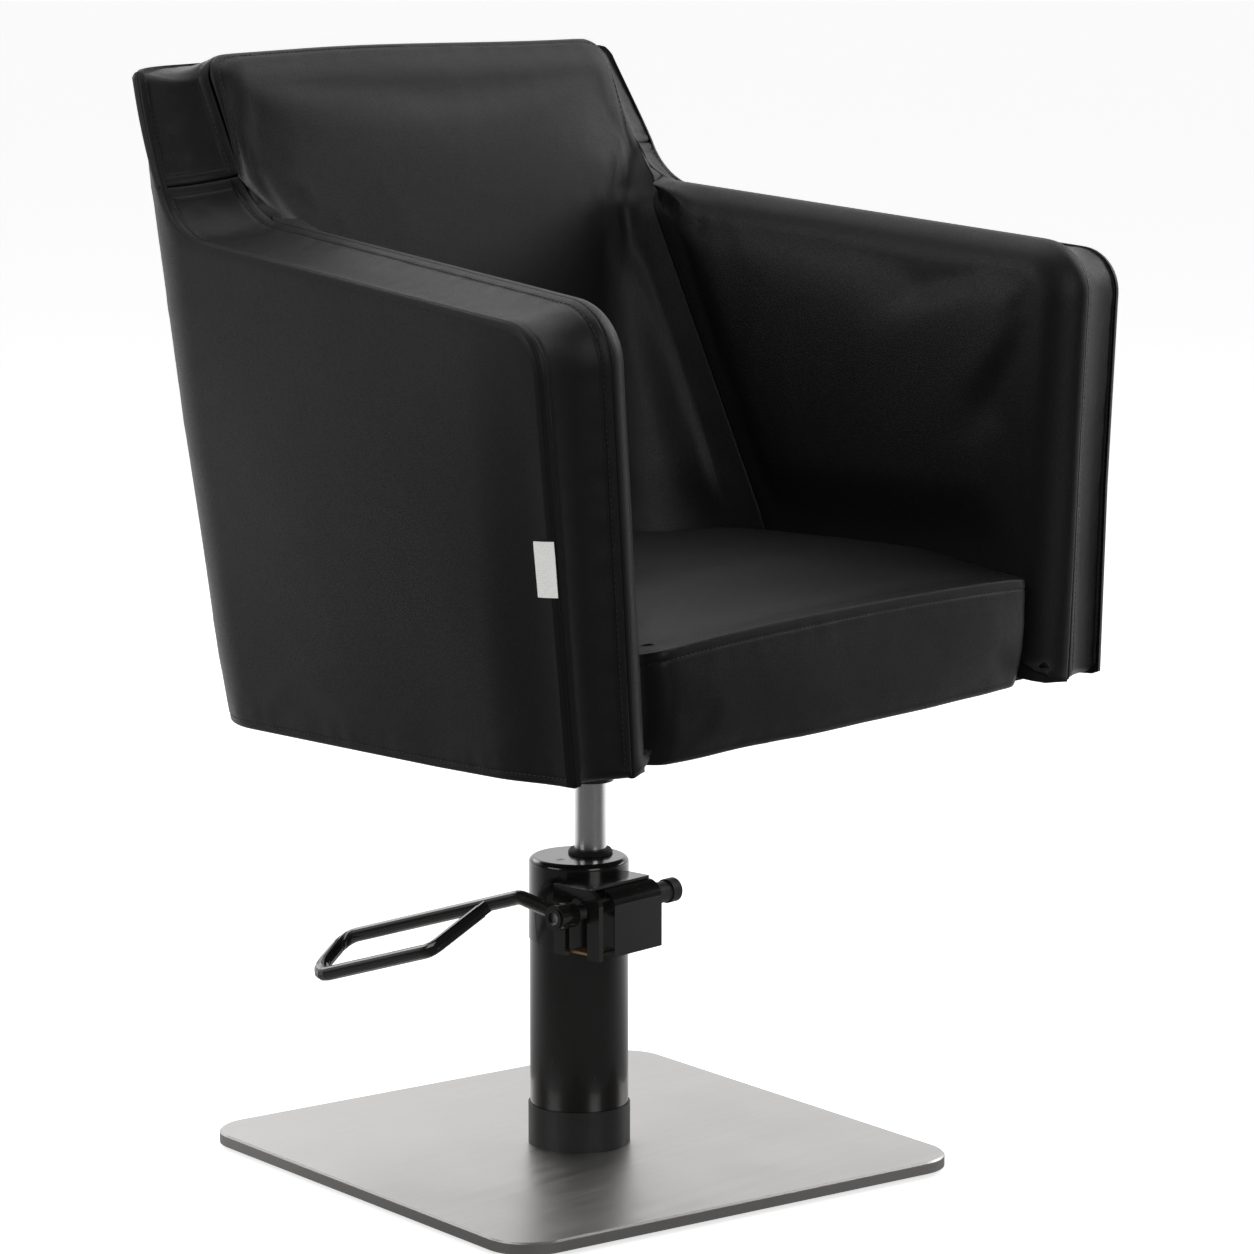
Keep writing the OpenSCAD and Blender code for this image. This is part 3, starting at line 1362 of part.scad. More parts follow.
base_plate();
base_glides();
glide_screws();
flange_bolts();
foot_ring();
reservoir_tube();
inner_cylinder();
pump_cap();
guide_bush();
rod_collar();
cap_plug();
lift_piston();
piston_seal();
thrust_bearing();
lift_rod();
rod_socket();
socket_clamp();
clamp_screw();
seat_plate();
seat_plate_bolts();
bearing_block();
block_screws();
lever_bracket();
lever_housing();
stop_plate();
lever_shaft();
lever_cam();
foot_lever();
lever_hub();
hub_screw();
shaft_end_cap();
return_spring();
pump_plunger();
seat_board();
bottom_cover();
arm_frame_left();
arm_frame_right();
back_frame();
frame_bolts();
seat_cushion();
arm_pad_left();
arm_pad_right();
back_pad();
arm_border_left();
arm_border_right();
back_border();
side_panel_left();
side_panel_right();
back_panel();
seam_tag();
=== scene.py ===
import json
import math

import bpy
import bmesh
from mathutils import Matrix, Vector, bvhtree, geometry, kdtree, noise


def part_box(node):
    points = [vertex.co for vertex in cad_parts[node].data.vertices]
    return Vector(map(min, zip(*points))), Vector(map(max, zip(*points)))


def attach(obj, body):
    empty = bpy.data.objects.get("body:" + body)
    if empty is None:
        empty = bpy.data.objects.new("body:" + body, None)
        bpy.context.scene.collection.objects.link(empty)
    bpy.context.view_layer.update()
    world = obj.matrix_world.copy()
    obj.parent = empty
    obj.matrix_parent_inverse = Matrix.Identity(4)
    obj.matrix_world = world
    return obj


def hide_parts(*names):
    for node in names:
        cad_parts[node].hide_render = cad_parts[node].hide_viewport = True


bl_info = {
    "name": "Salon styling chair",
    "version": (1, 0, 0),
    "blender": (4, 5, 0),
    "location": "View3D > Sidebar > Salon chair",
    "description": "Upholsters and finishes the salon chair around its packed CAD frame",
    "category": "Object",
}

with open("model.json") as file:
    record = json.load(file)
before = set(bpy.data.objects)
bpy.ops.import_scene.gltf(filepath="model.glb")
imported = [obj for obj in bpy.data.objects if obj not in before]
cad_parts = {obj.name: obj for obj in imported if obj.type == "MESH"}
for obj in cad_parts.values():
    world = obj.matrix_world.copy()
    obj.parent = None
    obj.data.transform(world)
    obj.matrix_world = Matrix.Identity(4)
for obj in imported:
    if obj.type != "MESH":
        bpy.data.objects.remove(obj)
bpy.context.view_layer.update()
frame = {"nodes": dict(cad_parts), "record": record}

MM = 0.001

# Lines of the shell, in millimetres, as the CAD part has them
floor_z = 396.0
floor_slope = 2.0
front_y = -287.0
seam_half_w = 266.0
plan_taper = 8.15
flare = 4.28
border_w = 65.0
arm_front_z = 753.0
arm_back_z = 787.0
arm_corner_r = 48.0
back_top_z = 911.0
back_rear = 258.0
back_lean = 7.6
corner_r = 80.0
skin_crown = 7.0
border_crown = 5.0
pad_t = 30.0
seat_front = 281.0
seat_seam_z = 488.0
seat_crown = 14.0
lumbar_y = 78.0
recline = 14.5
tub_r = 110.0
tub_shrink = 0.27
tub_min_r = 24.0
seat_ref_z = 494.0
lip = 30.0
seam_step_y = 145.0
seam_step_top_y = 204.0
arm_fillet_r = 60.0
back_corner_r = 24.0
border_drop = 12.0
border_set = 15.0
outer_corner_r = 40.0
outer_step_s = 178.0
outer_step_top_s = 226.0
back_edge_drop = 12.0
back_edge_angle = 43.0
border_depth = 8.0
seam_split = 50.0
board_top = 410.0
cushion_edge = 12.0
cushion_draw = 5.0
cushion_wrap = 7.0
soft_gap = 0.5

# Distances from a seam, along the leather, at which a sheet has a row of points
seam_rows = [0, 0.5, 1.2, 2.2, 3.6, 5.4, 7.2, 8, 8.6, 9.2, 10.2, 12, 14.5]


# Plain sums

def sind(a):
    return math.sin(math.radians(a))


def cosd(a):
    return math.cos(math.radians(a))


def tand(a):
    return math.tan(math.radians(a))


def mix(a, b, s):
    return a + (b - a) * s


def keep(v, low, high):
    return max(low, min(high, v))


def ease(v, low, high):
    s = keep((v - low) / (high - low), 0, 1)
    return s * s * (3 - 2 * s)


def lookup(v, table):
    if v <= table[0][0]:
        return table[0][1]
    for (a, x), (b, y) in zip(table, table[1:]):
        if v <= b:
            return y if b == a else mix(x, y, (v - a) / (b - a))
    return table[-1][1]


def steps(n):
    return [i / n for i in range(n + 1)]


def corner_arc(a, b, c, r, n):
    u = (a - b).normalized()
    v = (c - b).normalized()
    half = math.acos(keep(u.dot(v), -1, 1)) / 2
    centre = b + (u + v).normalized() * r / math.sin(half)
    start = b + u * r / math.tan(half) - centre
    finish = b + v * r / math.tan(half) - centre
    turn = math.pi - 2 * half
    return [centre + (start * math.sin((1 - s) * turn) + finish * math.sin(s * turn)) / math.sin(turn)
            for s in steps(n)]


def line_points(a, b, n):
    return [mix(a, b, i / n) for i in range(1, n + 1)]


def flip(p):
    return Vector((-p[0], p[1], p[2]))


def run_lengths(points):
    """How far along a line of points each of them lies."""
    run = [0.0]
    for a, b in zip(points, points[1:]):
        run.append(run[-1] + (b - a).length)
    return run


def kd_tree(places):
    """A search tree of places, each under its own number in the list."""
    tree = kdtree.KDTree(len(places))
    for i, p in enumerate(places):
        tree.insert(p, i)
    tree.balance()
    return tree


def resample(points, pitch):
    """Points a fixed pitch apart along a line of points, with both ends kept."""
    run = run_lengths(points)
    n = max(2, round(run[-1] / pitch))
    out = []
    k = 0
    for i in range(n + 1):
        want = run[-1] * i / n
        while k < len(run) - 2 and run[k + 1] < want:
            k += 1
        span = run[k + 1] - run[k]
        out.append(mix(points[k], points[k + 1], 0 if span == 0 else (want - run[k]) / span))
    return out


# The shell's surfaces

def seam_x(y, z):
    return seam_half_w - (y - front_y) * tand(plan_taper) + (z - floor_z) * tand(flare)


def outer_x(y, z):
    return seam_x(y, z) + border_w


def back_y(z):
    return back_rear - (back_top_z - z) * tand(back_lean)


def corner_centre(z):
    cy = back_y(z) - corner_r
    return outer_x(cy + corner_r * sind(plan_taper), z) - corner_r * cosd(plan_taper), cy


def outer_point(s, z):
    cx, cy = corner_centre(z)
    start_y = cy + corner_r * sind(plan_taper)
    angle = plan_taper + math.degrees((s - start_y) / corner_r)
    if s < start_y:
        return Vector((outer_x(s, z), s, z))
    if angle < 90:
        return Vector((cx + corner_r * cosd(angle), cy + corner_r * sind(angle), z))
    return Vector((cx - math.radians(angle - 90) * corner_r, back_y(z), z))


def outer_turn_s(angle, z):
    return corner_centre(z)[1] + corner_r * sind(plan_taper) + math.radians(angle - plan_taper) * corner_r


def floor_at(y):
    return floor_z - (y - front_y) * tand(floor_slope)


def arm_path(line, r_front, n):
    first = corner_arc(line[0], line[1], line[2], r_front, n)
    last = corner_arc(line[1], line[2], line[3], arm_fillet_r, n)
    return ([line[0]] + line_points(line[0], first[0], n * 4) + first[1:]
            + line_points(first[-1], last[0], n * 5) + last[1:])


seam_fine = 18
arm_inner = arm_path([Vector(p) for p in (
    (front_y, floor_z), (front_y, arm_front_z), (seam_step_y, arm_back_z),
    (seam_step_top_y, back_top_z))], arm_corner_r, seam_fine)
arm_outer = arm_path([Vector(p) for p in (
    (front_y, floor_z + 1), (front_y + border_set, arm_front_z - border_drop),
    (outer_step_s, arm_back_z - border_drop),
    (outer_step_top_s, back_top_z - back_edge_drop))], outer_corner_r, seam_fine)
arm_inner_3d = [Vector((seam_x(p[0], p[1]), p[0], p[1])) for p in arm_inner]
arm_outer_3d = [outer_point(p[0], p[1]) for p in arm_outer]

step_inner_start = arm_inner_3d[-1]
step_outer_start = arm_outer[-1]
top_inner_corner = Vector((seam_x(seam_step_top_y, back_top_z), seam_step_top_y, back_top_z))
top_inner_mid = Vector((0, seam_step_top_y, back_top_z))
top_inner_arc = corner_arc(step_inner_start, top_inner_corner, top_inner_mid, back_corner_r, seam_fine)
top_outer_z = back_top_z - back_edge_drop
step_outer_end = Vector((outer_turn_s(back_edge_angle, top_outer_z) - 2, top_outer_z - border_depth))


def top_outer(angle):
    return outer_point(outer_turn_s(angle, top_outer_z), top_outer_z)


def step_outer(s):
    p = mix(step_outer_start, step_outer_end, s)
    return outer_point(p[0], p[1])


top_outer_end = top_outer(90)
border_half_inner = ([step_inner_start] + line_points(step_inner_start, top_inner_arc[0], seam_fine)
                     + top_inner_arc[1:] + line_points(top_inner_arc[-1], top_inner_mid, seam_fine * 3))
border_half_outer = ([step_outer(i / seam_fine) for i in range(seam_fine + 1)]
                     + [top_outer(mix(back_edge_angle, 90, i / seam_fine)) for i in range(1, seam_fine + 1)]
                     + line_points(top_outer_end, Vector((0, top_outer_end[1], top_outer_end[2])),
                                   seam_fine * 3))

arm_corner_y = front_y + arm_corner_r
inner_by_y = [(p[0], p[1]) for p in arm_inner if p[0] > front_y]
arm_corner_z = lookup(arm_corner_y, inner_by_y) - arm_corner_r


def arm_top(y):
    if y < arm_corner_y:
        return arm_corner_z + math.sqrt(max(0, arm_corner_r ** 2 - (arm_corner_y - y) ** 2))
    return lookup(y, inner_by_y)


def edge_rise(d):
    return math.sqrt(max(0, 1 - (1 - keep(d / lip, 0, 1)) ** 2))


def face_y(z):
    return lumbar_y + (z - seat_ref_z) * tand(recline)


def tub_at(z):
    return keep(tub_r - (z - seat_ref_z) * tub_shrink, tub_min_r, tub_r)


def pad_x(y, z):
    return seam_x(y, z) - pad_t


def tub_centre(z):
    r = tub_at(z)
    cy = face_y(z) - r
    return pad_x(cy + r * sind(plan_taper), z) - r * cosd(plan_taper), cy


def pad_end(z):
    return tub_centre(z)[1] + tub_at(z) * sind(plan_taper)


junction_y = pad_end(arm_back_z)
junction_z = arm_top(junction_y)
step_points = [p for p in arm_inner_3d if p[1] > junction_y] + top_inner_arc[1:]
gather_place = Vector((seam_x(junction_y, junction_z) - 8, junction_y, junction_z - 12))
step_x_by_z = [(p[2], p[0]) for p in step_points]
step_y_by_z = [(p[2], p[1]) for p in step_points]


# How foam and leather give at the shell's corners, as small smooth moves of its plain form

front_give = [(396, 1.0), (550, 0.78), (700, 0.36), (760, 0.12), (800, 0.0)]
front_give_x = 9.5
front_give_y = 8.5
give_outer_x = 325.0
give_front_y = -275.0
give_rear_y = -190.0
top_sag = 9.0
sag_start_z = 790.0
sag_from_x = -120.0
sag_to_x = 234.0


def settle(p):
    """A point of the plain shell, moved to where the padding lets it lie."""
    x, y, z = abs(p[0]), p[1], p[2]
    side = 1 if p[0] > 0 else -1
    front = 1 - ease(y, give_front_y, give_rear_y)
    give = front * ease(x, seam_half_w, give_outer_x) * lookup(z, front_give)
    sag = top_sag * ease(z, sag_start_z, back_top_z) * ease(p[0], sag_from_x, sag_to_x)
    return Vector((side * (x - front_give_x * give), y + front_give_y * give, z - sag))


# Seams: where a sheet rolls in, where it is topstitched, and where it is turned under

class Seam:
    """A line on the chair at which a sheet of leather ends. way is the side on which it is topstitched."""

    def __init__(self, points, depth=2.2, stitch=8.6, pucker=1.0, soft=0.8, way=None):
        self.points = points
        self.depth = depth
        self.stitch = stitch
        self.pucker = pucker
        self.soft = soft
        self.way = way

    def flipped(self):
        return Seam([flip(p) for p in self.points], self.depth, self.stitch, self.pucker, self.soft, self.way)

    def plain(self):
        """The same seam for a piece that isn't topstitched along it."""
        return Seam(self.points, self.depth, 0, self.pucker, self.soft)


class SeamField:
    """Finds the nearest place on a set of seams."""

    def __init__(self, seams):
        self.places = []
        self.seams = seams
        for k, seam in enumerate(seams):
            fine = resample([settle(p) for p in seam.points], 1.0)
            self.places += [(p, k, i) for i, p in enumerate(fine)]
        self.tree = kd_tree([place[0] for place in self.places])

    def near(self, p):
        co, i, d = self.tree.find(p)
        _, k, run = self.places[i]
        for j in (i - 1, i + 1):
            if 0 <= j < len(self.places) and self.places[j][1] == k:
                q, share = geometry.intersect_point_line(p, co, self.places[j][0])
                if 0 <= share <= 1:
                    d = min(d, (p - q).length)
        return d, self.seams[k], run, p - co


roll_width = 6.5
stitch_sink = 0.65
stitch_groove = 1.25
ridge_high = 0.25
ridge_width = 2.6
pucker_high = 0.55
pucker_rate = 0.085


def seam_dip(d, seam, run, away):
    """How far the leather lies below its smooth face at a distance from a seam."""
    r = seam.depth
    dip = seam.soft * math.exp(-(d / roll_width) ** 2)
    if r > 0 and d < r:
        dip += r - math.sqrt(max(0, r * r - (r - d) ** 2))
    if seam.stitch and (seam.way is None or seam.way.dot(away) > 0):
        dip += stitch_sink * math.exp(-((d - seam.stitch) / stitch_groove) ** 2)
        ridge = math.exp(-((d - seam.stitch / 2) / ridge_width) ** 2) * ridge_high
        own = (seam.points[0][0] * 0.01, seam.points[-1][2] * 0.01)
        ripple = noise.noise(Vector((run * pucker_rate, own[0], own[1])))
        reach = ease(d, 2, 7) * (1 - ease(d, 12, 30))
        dip += seam.pucker * pucker_high * ripple * reach - ridge
    return dip


def add_object(name, data):
    obj = bpy.data.objects.new(name, data)
    bpy.context.scene.collection.objects.link(obj)
    return obj


def smooth_mesh(name, bm):
    """The finished mesh of a bmesh in metres, smooth shaded."""
    bmesh.ops.recalc_face_normals(bm, faces=bm.faces)
    mesh = bpy.data.meshes.new(name)
    bm.to_mesh(mesh)
    bm.free()
    mesh.polygons.foreach_set("use_smooth", [True] * len(mesh.polygons))
    return mesh


sharp_edge_angle = 62.0
pull_from, pull_full = 6.0, 26.0
relief_from, relief_full = 3.0, 24.0


def sheet(name, points, faces, outward, seams, thick=6.0, relief=None, pull=None, shell=True):
    """A closed shell from an open sheet of points in millimetres: seams sink, the rest keeps its form."""
    if shell:
        points = [settle(p) for p in points]
    bm = bmesh.new()
    verts = [bm.verts.new(p) for p in points]
    for f in faces:
        if len(set(f)) > 2:
            bm.faces.new([verts[i] for i in f])
    bm.normal_update()
    normals = [v.normal.copy() for v in verts]
    turn = 1 if sum(n.dot(outward(p)) for n, p in zip(normals, points)) > 0 else -1
    normals = [n * turn for n in normals]
    field = SeamField(seams) if seams else None
    front = []
    for p, n in zip(points, normals):
        q = p.copy()
        d, seam, run, away = field.near(p) if field else (1000.0, None, 0, None)
        if pull:
            q += n * pull(p, n) * ease(d, pull_from, pull_full)
        if relief:
            q += n * relief(p) * ease(d, relief_from, relief_full)
        if seam:
            q -= n * seam_dip(d, seam, run, away)
        front.append(q)
    bm.verts.index_update()
    rim = [e for e in bm.edges if len(e.link_faces) == 1]
    rear = [bm.verts.new(p - n * thick) for p, n in zip(points, normals)]
    for f in list(bm.faces):
        bm.faces.new([rear[v.index] for v in reversed(f.verts)])
    for e in rim:
        a, b = e.verts
        loop = e.link_faces[0].loops
        for corner in loop:
            if corner.vert == a and corner.link_loop_next.vert == b:
                a, b = b, a
                break
        bm.faces.new([a, b, rear[b.index], rear[a.index]])
    for v, q in zip(verts, front):
        v.co = q
    for v in bm.verts:
        v.co *= MM
    mesh = smooth_mesh(name, bm)
    mesh.set_sharp_from_angle(angle=math.radians(sharp_edge_angle))
    return add_object(name, mesh)


def grid_faces(n, m):
    return [(i * m + j, i * m + j + 1, (i + 1) * m + j + 1, (i + 1) * m + j)
            for i in range(n - 1) for j in range(m - 1)]


def inside(p, ring):
    """Whether a flat point lies inside a closed line of points."""
    hit = False
    for a, b in zip(ring, ring[1:] + ring[:1]):
        if (a[1] > p[1]) != (b[1] > p[1]) and p[0] < mix(a[0], b[0], (p[1] - a[1]) / (b[1] - a[1])):
            hit = not hit
    return hit


far_off = 400.0
sharp_turn = 0.35
slide = 60.0
most_of_room = 0.42
row_share = 0.866
clear_share = 0.62


def narrow_room(outline, normals):
    """How far each point of an outline can move inwards before it meets the other side."""
    n = len(outline)
    room = []
    for i, p in enumerate(outline):
        go = (normals[i - 1] + normals[i]).normalized()
        best = far_off
        for j in range(n):
            if min((i - j) % n, (j - i) % n) < 2 or (i - j) % n == 1:
                continue
            a, b = outline[j], outline[(j + 1) % n]
            hit = geometry.intersect_line_line_2d(p + go * 0.5, p + go * far_off, a, b)
            if hit is not None:
                best = min(best, (hit - p).length)
        room.append(best)
    near = [min(room[(i + k) % n] for k in range(-3, 4)) for i in range(n)]
    return [sum(near[(i + k) % n] for k in range(-4, 5)) / 9 for i in range(n)]


def ring_sheet(outline, reaches, last, pitch):
    """Rings of points inside a flat outline, and a net of triangles within the last ring.
    Each edge of the outline has its own distances to the rings."""
    n = len(outline)
    edges = list(zip(outline, outline[1:] + outline[:1]))
    side = 1 if sum(a.cross(b) for a, b in edges) > 0 else -1
    alongs = [(b - a).normalized() for a, b in edges]
    normals = [Vector((-t[1], t[0])) * side for t in alongs]
    run = run_lengths(outline + outline[:1])
    whole_run = run.pop()
    room = narrow_room(outline, normals)
    sharp = [i for i in range(n) if abs(normals[i - 1].cross(normals[i])) > sharp_turn]
    points = []
    for ring in range(last):
        mitres = {}
        for i in range(n):
            n1, n2 = normals[i - 1], normals[i]
            k = min(1.0, most_of_room * room[i] / max(0.001, reaches[i][last - 1]))
            d1, d2 = reaches[i - 1][ring] * k, reaches[i][ring] * k
            turn = n1.cross(n2)
            if i not in sharp:
                across = (n1 + n2).normalized()
                points.append(outline[i] + across * (d1 + d2) / 2 / max(0.5, across.dot(n1)))
            else:
                move = Vector(((d1 * n2[1] - d2 * n1[1]) / turn, (d2 * n1[0] - d1 * n2[0]) / turn))
                mitres[i] = move
                points.append(outline[i] + move)
        for c, move in mitres.items():
            for way in (1, -1):
                away = alongs[c] if way > 0 else -alongs[c - 1]
                shift = move.dot(away)
                for k in range(1, n):
                    i = (c + way * k) % n
                    far = abs(run[i] - run[c])
                    far = min(far, whole_run - far)
                    if far > slide or i in sharp:
                        break
                    go = alongs[i] if way > 0 else -alongs[i - 1]
                    points[ring * n + i] += go * shift * (1 - far / slide)
    faces = []
    for ring in range(last - 1):
        for i in range(n):
            j = (i + 1) % n
            face = (ring * n + i, ring * n + j, (ring + 1) * n + j, (ring + 1) * n + i)
            faces.append(face if side > 0 else face[::-1])
    inner = points[-n:]
    tree = kd_tree([(p[0], p[1], 0) for p in inner])
    low = (min(p[0] for p in inner), min(p[1] for p in inner))
    high = (max(p[0] for p in inner), max(p[1] for p in inner))
    loose = []
    rows = int((high[1] - low[1]) / (pitch * row_share)) + 1
    for r in range(rows):
        for c in range(int((high[0] - low[0]) / pitch) + 1):
            p = Vector((low[0] + (c + 0.5 * (r % 2)) * pitch, low[1] + r * pitch * row_share))
            if tree.find((p[0], p[1], 0))[2] > pitch * clear_share and inside(p, inner):
                loose.append(p)
    flat = inner + loose
    out = geometry.delaunay_2d_cdt(flat, [(i, (i + 1) % n) for i in range(n)], [], 1, 1e-5, True)
    start = (last - 1) * n
    place = {}
    for new, olds in enumerate(out[3]):
        if olds:
            place[new] = start + olds[0] if olds[0] < n else None
    for new, co in enumerate(out[0]):
        if place.get(new) is None:
            place[new] = len(points)
            points.append(Vector((co[0], co[1])))
    used = set()
    for f in out[2]:
        if not inside(sum((out[0][v] for v in f), Vector((0, 0))) / len(f), inner):
            continue
        face = tuple(place[v] for v in f)
        used.update(face)
        faces.append(face)
    used.update(v for f in faces for v in f)
    keepers = sorted(used)
    new_place = {v: i for i, v in enumerate(keepers)}
    return [points[v] for v in keepers], [tuple(new_place[v] for v in f) for f in faces]


def creases(p, size, height, along=(1, 1, 1), seed=0.0):
    """Soft wrinkles: ridged noise, stretched along one direction."""
    q = Vector((p[0] * along[0] / size + seed, p[1] * along[1] / size - seed, p[2] * along[2] / size))
    ridge = 1 - abs(noise.noise(q)) * 2.2
    return height * (max(0, ridge) ** 3 - 0.35 + 0.4 * noise.noise(q * 0.45))


# Materials

def group_tree(name, inputs, outputs):
    tree = bpy.data.node_groups.new(name, "ShaderNodeTree")
    for label, kind, value in inputs:
        socket = tree.interface.new_socket(label, in_out="INPUT", socket_type=kind)
        if value is not None:
            socket.default_value = value
    for label in outputs:
        tree.interface.new_socket(label, in_out="OUTPUT", socket_type="NodeSocketFloat")
    return tree, tree.nodes.new("NodeGroupInput"), tree.nodes.new("NodeGroupOutput")


def feed(tree, node, values):
    """Give a node its inputs, each a socket to be linked or a plain value."""
    for key, value in values.items():
        if isinstance(value, bpy.types.NodeSocket):
            tree.links.new(value, node.inputs[key])
        else:
            node.inputs[key].default_value = value
    return node


def put(tree, kind, values=None, **settings):
    node = tree.nodes.new(kind)
    for key, value in settings.items():
        setattr(node, key, value)
    return feed(tree, node, values or {})


def sums(tree, operation, a, b=0.0, clamp=False):
    node = put(tree, "ShaderNodeMath", {0: a, 1: b}, operation=operation)
    node.use_clamp = clamp
    return node.outputs[0]


def add_share(tree, base, mask, share, clamp=False):
    """A value with a share of a mask added to it."""
    return sums(tree, "ADD", base, sums(tree, "MULTIPLY", mask, share), clamp)


def ramp(tree, value, low, high, to_low=0.0, to_high=1.0):
    node = put(tree, "ShaderNodeMapRange", {"Value": value, "From Min": low, "From Max": high,
                                            "To Min": to_low, "To Max": to_high})
    node.interpolation_type = "SMOOTHSTEP"
    return node.outputs[0]


def scaled(tree, vector, scale):
    return put(tree, "ShaderNodeVectorMath", {0: vector, 1: scale}, operation="MULTIPLY").outputs[0]


def noise_at(tree, vector, scale, detail, **more):
    """Noise at a place. more gives the node's other inputs."""
    return put(tree, "ShaderNodeTexNoise", {"Vector": vector, "Scale": scale, "Detail": detail, **more})


def make_leather_grain():
    """Pebbles and fine pores of grained leatherette."""
    tree, ins, outs = group_tree("leather_grain", [
        ("Coordinates", "NodeSocketVector", None), ("Pebble size", "NodeSocketFloat", 0.0013),
        ("Patchiness", "NodeSocketFloat", 0.5)],
        ("Height", "Valley", "Patches"))
    scale = sums(tree, "DIVIDE", 1.0, ins.outputs["Pebble size"])
    place = ins.outputs["Coordinates"]
    warp = noise_at(tree, place, scale, 2.0)
    bent = put(tree, "ShaderNodeVectorMath", {0: warp.outputs["Color"], 1: (0.0007, 0.0007, 0.0007)},
               operation="MULTIPLY_ADD")
    tree.links.new(place, bent.inputs[2])
    cells = put(tree, "ShaderNodeTexVoronoi", {"Vector": bent.outputs[0], "Scale": scale, "Randomness": 0.95},
                feature="DISTANCE_TO_EDGE")
    valley = ramp(tree, cells.outputs["Distance"], 0.0, 0.22)
    pores = noise_at(tree, place, sums(tree, "MULTIPLY", scale, 3.1), 3.0)
    height = add_share(tree, sums(tree, "MULTIPLY", valley, 0.75), pores.outputs["Fac"], 0.35)
    patches = noise_at(tree, place, 9.0, 5.0, Roughness=0.6)
    patch = sums(tree, "MULTIPLY", ramp(tree, patches.outputs["Fac"], 0.3, 0.7), ins.outputs["Patchiness"])
    tree.links.new(height, outs.inputs["Height"])
    tree.links.new(sums(tree, "SUBTRACT", 1.0, valley), outs.inputs["Valley"])
    tree.links.new(patch, outs.inputs["Patches"])
    return tree


def make_brushed_lines():
    """Fine lines left by a brush, along one direction, with broad bands."""
    tree, ins, outs = group_tree("brushed_lines", [
        ("Coordinates", "NodeSocketVector", None), ("Stretch", "NodeSocketVector", (4.0, 900.0, 900.0))],
        ("Height", "Streaks", "Bands"))
    drawn = scaled(tree, ins.outputs["Coordinates"], ins.outputs["Stretch"])
    fine = noise_at(tree, drawn, 2.4, 4.0, Roughness=0.65)
    wide = noise_at(tree, scaled(tree, drawn, (0.25, 0.12, 0.12)), 1.0, 2.0)
    tree.links.new(fine.outputs["Fac"], outs.inputs["Height"])
    tree.links.new(ramp(tree, fine.outputs["Fac"], 0.32, 0.68), outs.inputs["Streaks"])
    tree.links.new(ramp(tree, wide.outputs["Fac"], 0.25, 0.75), outs.inputs["Bands"])
    return tree


def make_handling_marks():
    """Faint smudges, dust on faces that look up, and scuffs."""
    tree, ins, outs = group_tree("handling_marks", [
        ("Coordinates", "NodeSocketVector", None), ("Size", "NodeSocketFloat", 0.05)],
        ("Smudges", "Dust", "Scuffs"))
    scale = sums(tree, "DIVIDE", 1.0, ins.outputs["Size"])
    place = ins.outputs["Coordinates"]
    soft = noise_at(tree, place, scale, 4.0)
    specks = noise_at(tree, place, sums(tree, "MULTIPLY", scale, 40.0), 2.0)
    normal = put(tree, "ShaderNodeNewGeometry")
    up = put(tree, "ShaderNodeSeparateXYZ", {0: normal.outputs["Normal"]}).outputs[2]
    dust = sums(tree, "MULTIPLY", ramp(tree, up, 0.5, 1.0), ramp(tree, specks.outputs["Fac"], 0.5, 0.75))
    scratch = noise_at(tree, scaled(tree, place, (9.0, 60.0, 14.0)), sums(tree, "MULTIPLY", scale, 0.35), 5.0)
    tree.links.new(ramp(tree, soft.outputs["Fac"], 0.35, 0.72), outs.inputs["Smudges"])
    tree.links.new(dust, outs.inputs["Dust"])
    tree.links.new(ramp(tree, scratch.outputs["Fac"], 0.62, 0.72), outs.inputs["Scuffs"])
    return tree


def make_coat_peel():
    """The fine waves of sprayed or powder coated paint."""
    tree, ins, outs = group_tree("coat_peel", [
        ("Coordinates", "NodeSocketVector", None), ("Size", "NodeSocketFloat", 0.002)],
        ("Height", "Tone"))
    scale = sums(tree, "DIVIDE", 1.0, ins.outputs["Size"])
    place = ins.outputs["Coordinates"]
    waves = noise_at(tree, place, scale, 2.0, Roughness=0.4)
    broad = noise_at(tree, place, sums(tree, "MULTIPLY", scale, 0.04), 3.0)
    tree.links.new(waves.outputs["Fac"], outs.inputs["Height"])
    tree.links.new(ramp(tree, broad.outputs["Fac"], 0.3, 0.7), outs.inputs["Tone"])
    return tree


def make_plain_weave():
    """Over and under threads of a woven cloth or tape."""
    tree, ins, outs = group_tree("plain_weave", [
        ("Coordinates", "NodeSocketVector", None), ("Thread", "NodeSocketFloat", 0.0005)],
        ("Height", "Gaps", "Fuzz"))
    scale = sums(tree, "DIVIDE", math.pi, ins.outputs["Thread"])
    split = put(tree, "ShaderNodeSeparateXYZ", {0: ins.outputs["Coordinates"]})
    waves = [sums(tree, "SINE", sums(tree, "MULTIPLY", split.outputs[axis], scale)) for axis in range(3)]
    level = sums(tree, "ADD", sums(tree, "MULTIPLY", waves[0], waves[2]),
                 sums(tree, "MULTIPLY", waves[1], waves[2]))
    fuzz = noise_at(tree, ins.outputs["Coordinates"], sums(tree, "MULTIPLY", scale, 0.6), 3.0)
    tree.links.new(ramp(tree, level, -1.4, 1.4), outs.inputs["Height"])
    tree.links.new(ramp(tree, level, -0.4, -1.2), outs.inputs["Gaps"])
    tree.links.new(fuzz.outputs["Fac"], outs.inputs["Fuzz"])
    return tree


